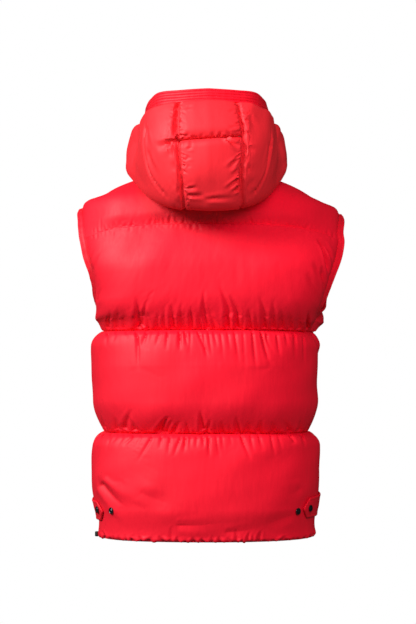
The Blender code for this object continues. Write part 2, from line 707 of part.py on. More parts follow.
def tab(row):
    t = dict(zip(TAB_COLUMNS, row))
    sign = 1.0 if t["side"] == "left" else -1.0
    reach = length(sub(skirt_point(t["base_angle"], t["row"], 0)[0],
                       skirt_point(t["tip_angle"], t["row"], 0)[0]))
    neck = 1.0 - t["point"] / reach

    def pair(s, h):
        angle = sign * (t["base_angle"] + (t["tip_angle"] - t["base_angle"]) * s)
        half = (t["base_half"] + (t["neck_half"] - t["base_half"]) * s / neck) if s <= neck else \
            t["neck_half"] + (1.5 - t["neck_half"]) * (s - neck) / (1.0 - neck)
        row_at = t["row"] + h * half / 186.0
        p, n, ta, tr = skirt_point(angle, row_at, TAB_PROUD)
        return add(p, n, TAB_THICK), p
    stations = [neck if abs(s - 0.84) < 1e-9 else s for s in TAB_STATIONS]
    padded("side_tab_" + t["side"], stations, TAB_ACROSS, pair)


def snap(row):
    s = dict(zip(SNAP_COLUMNS, row))
    p, n, ta, tr = skirt_point(s["angle"], s["row"], s["lift"] + 0.5)
    bm = bmesh.new()
    bmesh.ops.create_cone(bm, cap_ends=True, segments=20, radius1=SNAP_RADIUS * MM,
                          radius2=SNAP_RADIUS * MM, depth=SNAP_HIGH * MM)
    mesh = bpy.data.meshes.new(s["name"])
    bm.to_mesh(mesh)
    bm.free()
    mesh.shade_smooth()
    obj = place(s["name"], mesh, "snap")
    turn = Vector(n).to_track_quat("Z", "Y")
    obj.rotation_euler = turn.to_euler()
    obj.location = Vector([c * MM for c in add(p, n, SNAP_HIGH / 2)])
    bevel = obj.modifiers.new("rounded", "BEVEL")
    bevel.width = 0.8 * MM
    bevel.segments = 2
    bevel.limit_method = "ANGLE"
    return obj


for row in TABS:
    tab(row)
for row in SNAPS:
    snap(row)

# ---------------------------------------------------------------- front zip
TAPE_INNER, TAPE_OUTER = 3.4, 9.0
TEETH_HALF, TEETH_HIGH = 3.1, 1.3
ZIP_TOP = BAND_WIDE - 1.0


def zip_line():
    """Middle of the front from the hem to the top of the band, as (y, z)."""
    points = [torso_point(180.0, 4.0 * k / 34.0)[1:] for k in range(34)]
    points += [hood_point(180.0, 0.06 + 0.94 * k / 9.0)[1:] for k in range(9)]
    start, tr, run, n, face = band_frame(180.0)
    points.append(add(start, tr, 0.5)[1:])
    points.append(add(add(start, tr, 2.0), run, ZIP_TOP * 0.5)[1:])
    points.append(add(add(start, tr, 2.0), run, ZIP_TOP)[1:])
    return points


def zip_strip(name, x0, x1, low, high, finish):
    line = zip_line()
    sections = []
    for k, (y, z) in enumerate(line):
        a, b = line[max(0, k - 1)], line[min(len(line) - 1, k + 1)]
        t = unit((0.0, b[0] - a[0], b[1] - a[1]))
        n = (0.0, -t[2], t[1])
        sections.append([add((x, y, z), n, h) for x, h in ((x0, low), (x1, low), (x1, high), (x0, high))])
    return swept(name, sections, False, finish)


zip_strip("zip_tape_left", TAPE_INNER, TAPE_OUTER, -0.7, 0.7, "tape")
zip_strip("zip_tape_right", -TAPE_OUTER, -TAPE_INNER, -0.7, 0.7, "tape")
zip_strip("zip_teeth", -TEETH_HALF, TEETH_HALF, -TEETH_HIGH, TEETH_HIGH, "zip")

# Slider: a bevelled plate with a bridge; the pull tab hangs in the bridge.
SLIDER_WIDE, SLIDER_TALL, SLIDER_THICK = 9.2, 12.5, 2.4
BRIDGE_RADIUS, BRIDGE_WIRE = 3.5, 0.8
HINGE_OFF = 1.45           # hinge pin's height over the plate
PULL_WIDE, PULL_LONG, PULL_THICK, PULL_BAR = 8.0, 30.0, 1.4, 1.4

line = zip_line()
SLIDER_AT = len(line) - 2
(y_s, z_s), below, above = line[SLIDER_AT], line[SLIDER_AT - 1], line[SLIDER_AT + 1]
up = unit((0.0, above[0] - below[0], above[1] - below[1]))
out = (0.0, -up[2], up[1])
face_at = add((0.0, y_s, z_s), out, TEETH_HIGH + GAP + SLIDER_THICK)


def local(x, o, u):
    """Point from the plate's front face: across, out and up (mm)."""
    return add(add((x, face_at[1], face_at[2]), out, o), up, u)


bm = bmesh.new()
bmesh.ops.create_cube(bm, size=1.0)
for v in bm.verts:
    x, o, u = v.co
    narrow = 0.72 if u < 0 else 1.0
    v.co = Vector([c * MM for c in local(x * SLIDER_WIDE * narrow, (o - 0.5) * SLIDER_THICK, u * SLIDER_TALL)])
bmesh.ops.recalc_face_normals(bm, faces=bm.faces)
mesh = bpy.data.meshes.new("zip_slider")
bm.to_mesh(mesh)
bm.free()
slider = place("zip_slider", mesh, "zip")
bevel = slider.modifiers.new("rounded", "BEVEL")
bevel.width = 0.7 * MM
bevel.segments = 2

bm = bmesh.new()
rings = []
for k in range(13):
    a = math.radians(-14 + 208 * k / 12.0)
    ring = []
    for j in range(8):
        b = 2 * math.pi * j / 8
        rad = BRIDGE_RADIUS + BRIDGE_WIRE * math.cos(b)
        ring.append(bm.verts.new([c * MM for c in
                    local(BRIDGE_WIRE * math.sin(b), rad * math.sin(a), rad * math.cos(a))]))
    rings.append(ring)
for p, q in zip(rings, rings[1:]):
    for j in range(8):
        bm.faces.new((p[j], p[(j + 1) % 8], q[(j + 1) % 8], q[j]))
bm.faces.new(rings[0])
bm.faces.new(rings[-1])
bmesh.ops.recalc_face_normals(bm, faces=bm.faces)
mesh = bpy.data.meshes.new("bridge")
bm.to_mesh(mesh)
bm.free()
bridge = place("bridge", mesh, None, CUTTERS)
bridge.hide_render = True
bridge.display_type = "WIRE"
join = slider.modifiers.new("bridge", "BOOLEAN")
join.operation = "UNION"
join.solver = "EXACT"
join.object = bridge

# Pull tab: a flat plate with a slot; its top bar is the hinge pin.
hinge = Vector([c * MM for c in local(0.0, HINGE_OFF, 0.0)])
axis = bpy.data.objects.new("zip_pull_axis", None)
VEST.objects.link(axis)
axis.location = hinge
curve = bpy.data.curves.new("zip_pull_outline", "CURVE")
curve.dimensions = "2D"
curve.fill_mode = "BOTH"
curve.extrude = PULL_THICK / 2 * MM
half, bar = PULL_WIDE / 2, PULL_BAR / 2
OUTLINE = ((-half + 0.8, bar), (half - 0.8, bar), (half, bar - 0.8), (half, -PULL_LONG + 3.0),
           (half - 1.5, -PULL_LONG + 0.8), (half - 3.0, -PULL_LONG), (-half + 3.0, -PULL_LONG),
           (-half + 1.5, -PULL_LONG + 0.8), (-half, -PULL_LONG + 3.0), (-half, bar - 0.8))
SLOT = ((-2.3, -bar), (-2.3, -bar - 4.6), (2.3, -bar - 4.6), (2.3, -bar))
for shape in (OUTLINE, SLOT):
    spline_ = curve.splines.new("POLY")
    spline_.points.add(len(shape) - 1)
    for point, (px, py) in zip(spline_.points, shape):
        point.co = (px * MM, py * MM, 0.0, 1.0)
    spline_.use_cyclic_u = True
flat = bpy.data.objects.new("zip_pull_flat", curve)
VEST.objects.link(flat)
mesh = bpy.data.meshes.new_from_object(flat.evaluated_get(bpy.context.evaluated_depsgraph_get()))
bpy.data.objects.remove(flat, do_unlink=True)
bm = bmesh.new()
bm.from_mesh(mesh)
bmesh.ops.remove_doubles(bm, verts=bm.verts, dist=1e-6)
bmesh.ops.recalc_face_normals(bm, faces=bm.faces)
bm.to_mesh(mesh)
bm.free()
mesh.name = "zip_pull"
mesh.materials.clear()
pull = place("zip_pull", mesh, "zip")
pull.parent = axis
pull.rotation_euler = (math.radians(90), 0.0, 0.0)

# ---------------------------------------------------------------- hem cord stopper
STOP_RADIUS, STOP_LONG = 3.6, 9.0
p, n, ta, tr = frame_of(torso_point, 88.0, 0.01, 0.0, 4.0)
bm = bmesh.new()
bmesh.ops.create_cone(bm, cap_ends=True, segments=16, radius1=STOP_RADIUS * MM,
                      radius2=STOP_RADIUS * MM, depth=STOP_LONG * MM)
mesh = bpy.data.meshes.new("hem_cord_stopper")
bm.to_mesh(mesh)
bm.free()
mesh.shade_smooth()
stopper = place("hem_cord_stopper", mesh, "stopper")
stopper.location = Vector([c * MM for c in add(add(p, n, 17.4), (0.0, 0.0, 1.0), 0.5)])
bevel = stopper.modifiers.new("rounded", "BEVEL")
bevel.width = 1.2 * MM
bevel.segments = 2
bevel.limit_method = "ANGLE"
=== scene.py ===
import math
import bpy
import bmesh
import numpy as np
from mathutils import Matrix, Vector


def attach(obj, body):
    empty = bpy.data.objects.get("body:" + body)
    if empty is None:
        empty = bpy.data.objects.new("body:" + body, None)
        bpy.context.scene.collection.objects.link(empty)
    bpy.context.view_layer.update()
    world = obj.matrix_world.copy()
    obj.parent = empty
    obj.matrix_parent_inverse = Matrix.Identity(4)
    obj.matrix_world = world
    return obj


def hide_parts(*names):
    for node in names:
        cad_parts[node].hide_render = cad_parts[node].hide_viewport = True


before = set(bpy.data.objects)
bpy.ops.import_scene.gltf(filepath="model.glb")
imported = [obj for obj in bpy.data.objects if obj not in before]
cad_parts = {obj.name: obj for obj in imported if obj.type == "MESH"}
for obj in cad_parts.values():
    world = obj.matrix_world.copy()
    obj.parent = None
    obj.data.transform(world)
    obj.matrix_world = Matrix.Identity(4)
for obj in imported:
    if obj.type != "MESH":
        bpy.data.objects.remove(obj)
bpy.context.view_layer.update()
MM = 0.001

# =====================================================================
# Construction surface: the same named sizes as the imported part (mm).
# =====================================================================
SEAM_OUT, SEAM_IN = 1.9, 1.2
GAP, ZIP_HALF, NECK_GAP = 0.3, 9.3, 1.4
ARM_LOW, ARM_TOP, BAND_WIDE = 2.12, 3.3, 23.0
TORSO_COLUMNS = ("row", "z_back", "z_left", "z_right", "z_front",
                 "wide_left", "wide_right", "deep_back", "deep_front", "square")
TORSO = (
    (0.00, -648, -651, -650, -650, 183, 181, 118, 124, 2.30),
    (0.28, -596, -598, -597, -598, 173, 167, 119, 125, 2.33),
    (0.50, -555, -557, -556, -557, 180, 171, 121, 127, 2.35),
    (1.00, -459, -461, -461, -463, 180, 174, 123, 130, 2.40),
    (1.50, -369, -371, -371, -375, 179, 168, 127, 133, 2.50),
    (2.00, -278, -281, -281, -288, 185, 182, 130, 135, 2.60),
    (2.12, -256, -259, -259, -268, 186, 192, 131, 135, 2.65),
    (2.30, -223, -225, -228, -240, 203, 219, 131, 135, 2.80),
    (2.55, -178, -187, -190, -205, 222, 245, 131, 134, 2.95),
    (2.80, -131, -154, -158, -168, 235, 255, 129, 132, 3.00),
    (3.00,  -95, -124, -132, -138, 237, 253, 127, 129, 3.00),
    (3.15,  -80,  -88,  -98, -121, 229, 240, 124, 125, 2.85),
    (3.30,  -64,  -58,  -68, -103, 218, 227, 119, 119, 2.65),
    (3.50,  -42,  -51,  -59,  -82, 186, 191, 111, 110, 2.45),
    (3.75,  -18,  -23,  -26,  -62, 131, 132,  98,  98, 2.25),
    (4.00,    5,    4,    3,  -46,  86,  86,  82,  87, 2.10),
)
SIDE_COLUMNS = ("row", "left", "right")
SIDE_SEAMS = (
    (0.00,  98, 91),
    (0.50,  99, 91),
    (1.00, 100, 90),
    (1.50,  98, 88),
    (1.80,  97, 83),
    (2.00,  96, 76),
    (2.12,  95, 75),
)
ARM_COLUMNS = ("row", "back_left", "back_right", "front_left", "front_right")
ARMHOLES = (
    (2.12,  95,  75,  95,  75),
    (2.20,  80,  70, 108,  98),
    (2.35,  70,  67, 114, 111),
    (2.55,  66,  66, 115, 114),
    (2.80,  67,  68, 114, 114),
    (3.00,  69,  70, 112, 112),
    (3.12,  73,  73, 108, 109),
    (3.22,  79,  80, 102, 103),
    (3.30,  90,  90,  90,  90),
)
HOOD_COLUMNS = ("angle", "stand_r", "stand_z", "arch_r", "arch_z", "under_r", "under_z",
                "heel_r", "heel_z", "belly_r", "belly_z", "mid_r", "mid_z",
                "crown_r", "crown_z", "rim_r", "rim_z")
HOOD = (
    (0,   80,  22,  97,  34, 150,   6, 203, -60, 233, -22, 241, 42, 226, 86, 206, 111),
    (14,  81,  22,  98,  34, 147,   8, 199, -58, 229, -20, 237, 42, 222, 84, 203, 109),
    (25,  82,  21,  99,  33, 141,  12, 186, -48, 208, -14, 216, 42, 207, 80, 195, 107),
    (35,  83,  20,  99,  33, 136,  18, 172, -34, 182,  -2, 179, 44, 176, 78, 171,  99),
    (46,  84,  19,  98,  31, 128,  22, 160, -17, 157,   9, 146, 46, 147, 74, 145,  93),
    (60,  85,  18,  98,  29, 119,  24, 145,   1, 144,  21, 138, 48, 135, 72, 127,  88),
    (78,  87,  17,  97,  27, 112,  24, 131,   9, 132,  26, 130, 47, 123, 69, 113,  83),
    (98,  89,  14,  99,  24, 110,  24, 121,  13, 126,  28, 124, 46, 114, 64, 103,  74),
    (118, 92,   0,  99,  10, 104,  19, 108,  27, 110,  36, 109, 45, 105, 54, 100,  62),
    (140, 93, -18,  98,  -7, 102,   3, 105,  12, 106,  21, 106, 30, 104, 39, 102,  47),
    (160, 93, -32,  97, -22, 100, -12, 103,  -3, 105,   7, 106, 17, 106, 27, 105,  36),
    (180, 93, -35,  97, -25, 100, -15, 103,  -5, 105,   5, 106, 14, 107, 23, 107,  31),
)
HOOD_LEAN = 0.045
HOOD_LEVELS = (0.0, 0.10, 0.20, 0.36, 0.50, 0.62, 0.76, 0.89, 1.0)
HOOD_SEAM_COLUMNS = ("level", "left", "right")
HOOD_SEAMS = (
    (0.00, 22.0, 22.0),
    (0.20, 18.0, 18.0),
    (0.36, 13.5, 15.5),
    (0.50, 11.0, 15.5),
    (0.62, 10.2, 12.6),
    (0.76, 11.6, 13.2),
    (0.89, 12.4, 12.6),
    (1.00, 13.2, 13.0),
)
COLLAR_ANGLE = 118.0
PANEL_COLUMNS = ("name", "part", "low", "high", "puff", "lining",
                 "round_low", "round_high", "round_side", "seam_fill")
PANELS = (
    ("back_lower",   "back",  0.0, 1.0, 27, 5, 50, 25, 26, 0.35),
    ("back_middle",  "back",  1.0, 2.0, 27, 5, 62, 26, 26, 0.35),
    ("back_upper",   "back",  2.0, 3.0, 27, 5, 66, 44, 80, 0.00),
    ("back_yoke",    "back",  3.0, 4.0, 18, 4, 36, 140, 80, 0.00),
    ("front_lower",  "front", 0.0, 1.0, 26, 5, 50, 25, 26, 0.35),
    ("front_middle", "front", 1.0, 2.0, 26, 5, 62, 26, 26, 0.35),
    ("front_upper",  "front", 2.0, 3.0, 24, 5, 62, 44, 60, 0.00),
    ("front_yoke",   "front", 3.0, 4.0, 16, 4, 40, 80, 60, 0.00),
)
HEM_FILL = 0.55
SHOULDER_FILL, SHOULDER_THIN = 5.0, 0.66
HOOD_PUFF, HOOD_UNDER, HOOD_LINING = 15.0, 6.0, 5.0
HOOD_SEAM_LEVEL, HOOD_SEAM_TILT = 0.766, -0.012
COLLAR_PUFF = 12.0
YOKE_SEAM_FILL = {"back_yoke": 0.80, "back_upper": 0.56, "front_yoke": 0.80, "front_upper": 0.56}


def spline(knots, values, t):
    """Smooth curve through the values at the knots, read at every t at once."""
    knots = np.asarray(knots, float)
    values = np.asarray(values, float)
    t = np.asarray(t, float)
    n = len(knots)
    shape = (-1,) + (1,) * (values.ndim - 1)
    h = np.diff(knots)
    d = np.diff(values, axis=0) / h.reshape(shape)
    m = np.empty_like(values)
    m[0], m[-1] = d[0], d[-1]
    h0, h1 = h[:-1].reshape(shape), h[1:].reshape(shape)
    m[1:-1] = (d[:-1] * h1 + d[1:] * h0) / (h0 + h1)
    i = np.clip(np.searchsorted(knots, t, side="left") - 1, 0, n - 2)
    s = (t - knots[i]) / h[i]
    if values.ndim == 1:
        v0, v1, m0, m1 = values[i], values[i + 1], m[i], m[i + 1]
    else:
        k = np.arange(values.shape[1])
        v0, v1, m0, m1 = values[i, k], values[i + 1, k], m[i, k], m[i + 1, k]
    hh = h[i]
    inside = (v0 * (1 + 2 * s) * (1 - s) ** 2 + v1 * s * s * (3 - 2 * s)
              + m0 * hh * s * (1 - s) ** 2 + m1 * hh * s * s * (s - 1))
    return np.where(s < 0, v0 + m0 * hh * s, np.where(s > 1, v1 + m1 * hh * (s - 1), inside))


def table(rows, columns):
    keys = [r[0] for r in rows]
    data = {c: [r[k] for r in rows] for k, c in enumerate(columns)}
    return lambda name, t: spline(keys, data[name], t)


torso = table(TORSO, TORSO_COLUMNS)
side_seam = table(SIDE_SEAMS, SIDE_COLUMNS)
armhole = table(ARMHOLES, ARM_COLUMNS)
hood = table(HOOD, HOOD_COLUMNS)
hood_seams = table(HOOD_SEAMS, HOOD_SEAM_COLUMNS)


def full(value, like):
    return np.broadcast_to(np.asarray(value, float), np.shape(like)).astype(float)


def edge_angle(name, row):
    row = np.asarray(row, float)
    out = np.where(row <= ARM_LOW, side_seam(name.split("_")[1], row), armhole(name, row))
    return np.where(row >= ARM_TOP, 90.0, out)


def smooth(t):
    t = np.clip(t, 0.0, 1.0)
    return t * t * (3 - 2 * t)


def unit(v):
    return v / np.maximum(np.linalg.norm(v, axis=-1, keepdims=True), 1e-12)


def norm(v):
    return np.linalg.norm(v, axis=-1)


def torso_point(angle, row):
    a = np.radians(angle)
    row = full(row, a)
    sn, cs = np.sin(a), np.cos(a)
    wide = np.where(sn >= 0, torso("wide_left", row), torso("wide_right", row))
    deep = np.where(cs >= 0, torso("deep_back", row), torso("deep_front", row))
    n = torso("square", row)
    r = (np.abs(cs / deep) ** n + np.abs(sn / wide) ** n) ** (-1.0 / n)
    x, y = r * sn, r * cs
    s = np.minimum(1.0, np.abs(x) / wide)
    z_mid = np.where(cs >= 0, torso("z_back", row), torso("z_front", row))
    z_side = np.where(sn >= 0, torso("z_left", row), torso("z_right", row))
    return np.stack([x, y, z_side + (z_mid - z_side) * (1.0 - s ** 3)], -1)


HOOD_PROFILE = ("stand", "arch", "under", "heel", "belly", "mid", "crown", "rim")


def hood_point(angle, level):
    a = np.radians(angle)
    mag = np.minimum(180.0, np.abs(angle))
    level = full(level, a)
    base = torso_point(angle, full(4.0, a))
    up = unit(base - torso_point(angle, full(3.97, a)))
    base = base + up * NECK_GAP
    flat = mag.ravel()
    rs = [np.hypot(base[..., 0], base[..., 1]).ravel()] + [hood(n + "_r", flat) for n in HOOD_PROFILE]
    zs = [base[..., 2].ravel()] + [hood(n + "_z", flat) for n in HOOD_PROFILE]
    r = spline(HOOD_LEVELS, np.stack(rs), level.ravel()).reshape(a.shape)
    z = spline(HOOD_LEVELS, np.stack(zs), level.ravel()).reshape(a.shape)
    lean = HOOD_LEAN * np.sin(a) * smooth((level - 0.3) / 0.25) * (1.0 - smooth((-angle - 95.0) / 40.0))
    r = np.where(a < 0, r * (1.0 + lean), r)
    return np.stack([r * np.sin(a), r * np.cos(a), z], -1)


def frame_of(point, angle, row, low, high, da=0.6, dr=0.012):
    """Point, outward normal, tangent round the body and tangent up it."""
    angle = np.asarray(angle, float)
    row = full(row, angle)
    r0, r1 = np.maximum(low, row - dr), np.minimum(high, row + dr)
    ta = point(angle + da, row) - point(angle - da, row)
    tr = point(angle, r1) - point(angle, r0)
    return point(angle, row), unit(np.cross(tr, ta)), unit(ta), unit(tr)


def rise(t):
    t = np.clip(t, 0.0, 1.0)
    return (1.0 - (1.0 - t) ** 2.2) ** 0.62


def ease(t):
    t = np.clip(t, 0.0, 1.0)
    return t * (2.0 - t)


def belly(d, reach):
    return 0.14 * rise(d / 5.0) + 0.86 * ease(d / (0.95 * reach))


def hem_up(d):
    return HEM_FILL * (0.55 + 0.45 * rise(d / 7.0)) + (1.0 - HEM_FILL) * smooth(d / 60.0)


def row_length(angle, low, high, point):
    pts = [point(angle, low + (high - low) * k / 8.0) for k in range(9)]
    return sum(norm(b - a) for a, b in zip(pts, pts[1:]))


def panel_range(part, side, row):
    if part == "back":
        return -edge_angle("back_right", row), edge_angle("back_left", row)
    end = 180.0 - np.degrees(np.arcsin(ZIP_HALF / torso("deep_front", row)))
    if side == "left":
        return edge_angle("front_left", row), end
    return -end, -edge_angle("front_right", row)


def body_fill(spec, side, a, row):
    part, low, high = spec["part"], spec["low"], spec["high"]
    first, last = panel_range(part, side, row)
    angle = first + (last - first) * a
    b = (row - low) / (high - low)
    span = row_length(angle, low, high, torso_point)
    top = ease if high == 4.0 else rise
    low_up, high_up = rise(b * span / spec["round_low"]), top((1 - b) * span / spec["round_high"])
    if spec["name"] in ("back_lower", "back_middle"):      # the cloth stands close under these seams
        square = 1.0 - smooth((np.abs(angle) - 45.0) / 27.0)
        near = 0.60 * rise((1 - b) * span / 8.0) + 0.40 * rise((1 - b) * span / 38.0)
        high_up = high_up * (1 - square) + near * square
    if low == 0.0:
        low_up = hem_up(b * span)
    elif low < 3.0:
        low_up = belly(b * span, spec["round_low"])
    if spec["name"] in YOKE_SEAM_FILL:
        kept = YOKE_SEAM_FILL[spec["name"]]
        if low == 3.0:
            low_up = kept * (0.56 + 0.44 * smooth(b * span / 24.0)) + (1 - kept) * smooth(b * span / 60.0)
        else:
            high_up = kept * (0.84 + 0.16 * rise((1 - b) * span / 3.0)) + (1 - kept) * smooth((1 - b) * span / 75.0)
    up = low_up * high_up
    if spec["name"] in ("back_upper", "back_middle"):
        up = up * (1.0 + 0.15 * smooth((80.0 - np.abs(angle)) / 45.0) * np.minimum(1.0, (1.0 - b) * span / 60.0))
    up = up * (0.88 + 0.12 * np.sin(np.pi * np.clip(b, 0, 1)))
    p = torso_point(angle, row)
    d0 = norm(p - torso_point(first, row))
    d1 = norm(p - torso_point(last, row))
    floor0 = floor1 = full(spec["seam_fill"], row)
    if high == 4.0:
        ridge = SHOULDER_FILL / spec["puff"] * np.sin(np.pi * np.clip((row - ARM_TOP) / (4.0 - ARM_TOP), 0, 1)) ** 0.6
        ridge = np.where(row > ARM_TOP, ridge / np.maximum(up, 0.2), spec["seam_fill"])
        floor0 = floor1 = ridge
    elif low == 2.0:
        floor0 = floor1 = 0.35 * (1.0 - smooth((row - 2.0) / 0.12))
    if part == "front" and side == "left":
        floor1 = np.zeros_like(row)
    if part == "front" and side == "right":
        floor0 = np.zeros_like(row)
    r0, r1 = rise(d0 / spec["round_side"]), rise(d1 / spec["round_side"])
    across = (floor0 + (1 - floor0) * r0) * (floor1 + (1 - floor1) * r1)
    thin = 1.0 - SHOULDER_THIN * smooth((np.abs(p[..., 0]) - 145.0) / 75.0) * smooth((row - 2.85) / 0.25)
    return angle, up * across * thin


def body_shell(spec, side, a, row):
    angle, fill = body_fill(spec, side, a, row)
    p, n, ta, tr = frame_of(torso_point, angle, row, 0.0, 4.0)
    return (p + n * (SEAM_OUT + spec["puff"] * fill)[..., None],
            p - n * (SEAM_IN + spec["lining"] * fill)[..., None], n, p)


def hood_range(piece, side, level):
    if piece == "centre":
        return -hood_seams("right", level), hood_seams("left", level)
    first = hood_seams(side, level)
    last = full(COLLAR_ANGLE, level)
    if piece == "collar":
        first = full(COLLAR_ANGLE, level)
        r = norm(hood_point(full(180.0, level), level)[..., :2])
        last = 180.0 - np.degrees(np.arcsin(ZIP_HALF / r))
    return (first, last) if side == "left" else (-last, -first)


def hood_fill(piece, side, a, level, low, high):
    first, last = hood_range(piece, side, level)
    angle = first + (last - first) * a
    b = (level - low) / (high - low)
    span = row_length(angle, full(low, angle), full(high, angle), hood_point)
    at_neck = np.max(low) == 0.0
    up = (ease(b * span / 60.0) if at_neck else rise(b * span / 26.0)) * rise((1 - b) * span / 24.0)
    p = hood_point(angle, level)
    d0 = norm(p - hood_point(first, level))
    d1 = norm(p - hood_point(last, level))
    wide = 26.0 if piece != "collar" else 22.0
    across = rise(d0 / wide) * rise(d1 / wide)
    fold = np.exp(-((np.abs(angle) - 44.0) / 9.0) ** 2) * smooth((level - 0.35) / 0.2)
    tall = HOOD_UNDER + (HOOD_PUFF - HOOD_UNDER) * smooth((level - 0.40) / 0.16)
    tall = np.where(np.abs(angle) > 100.0,
                    tall + (COLLAR_PUFF - tall) * smooth((np.abs(angle) - 100.0) / 25.0), tall)
    return angle, up * across, tall * (1.0 - 0.45 * fold)


def hood_shell(piece, side, a, level, low=0.0, high=1.0):
    angle, fill, tall = hood_fill(piece, side, a, level, low, high)
    p, n, ta, tr = frame_of(hood_point, angle, level, 0.0, 1.0)
    edge = frame_of(torso_point, angle, full(4.0, angle), 0.0, 4.0)[1]
    k = np.clip(level / 0.05, 0, 1)[..., None]
    n = np.where(k < 1.0, unit(n * k + edge * (1 - k)), n)
    under = 0.25 + 0.75 * smooth((level - 0.30) / 0.2)
    return (p + n * (SEAM_OUT + tall * fill)[..., None],
            p - n * (SEAM_IN + HOOD_LINING * under * fill)[..., None], n, p)


def hood_cut(a):
    return HOOD_SEAM_LEVEL + HOOD_SEAM_TILT * (2 * a - 1)


# =====================================================================
# Cloth grids: shell points, lining points, lengths along and up the cloth
# =====================================================================
SPECS = {row[0]: dict(zip(PANEL_COLUMNS, row)) for row in PANELS}
STEP = 2.1         # mesh spacing of the shells (mm)


def waves(seed, count, low, high, tilt=0.0):
    """Directions, rates and phases of a soft random ripple."""
    rng = np.random.default_rng(seed)
    size = rng.uniform(low, high, count)
    turn = rng.normal(0.0, 0.45, count) + tilt
    return list(zip(2 * math.pi / size, turn, rng.uniform(0, 2 * math.pi, count),
                    rng.uniform(0.6, 1.0, count)))


def ripple(s, t, made):
    out = np.zeros_like(s)
    for rate, turn, phase, weight in made:
        out += weight * np.sin(rate * (s * math.cos(turn) + t * math.sin(turn)) + phase)
    return out / math.sqrt(len(made))


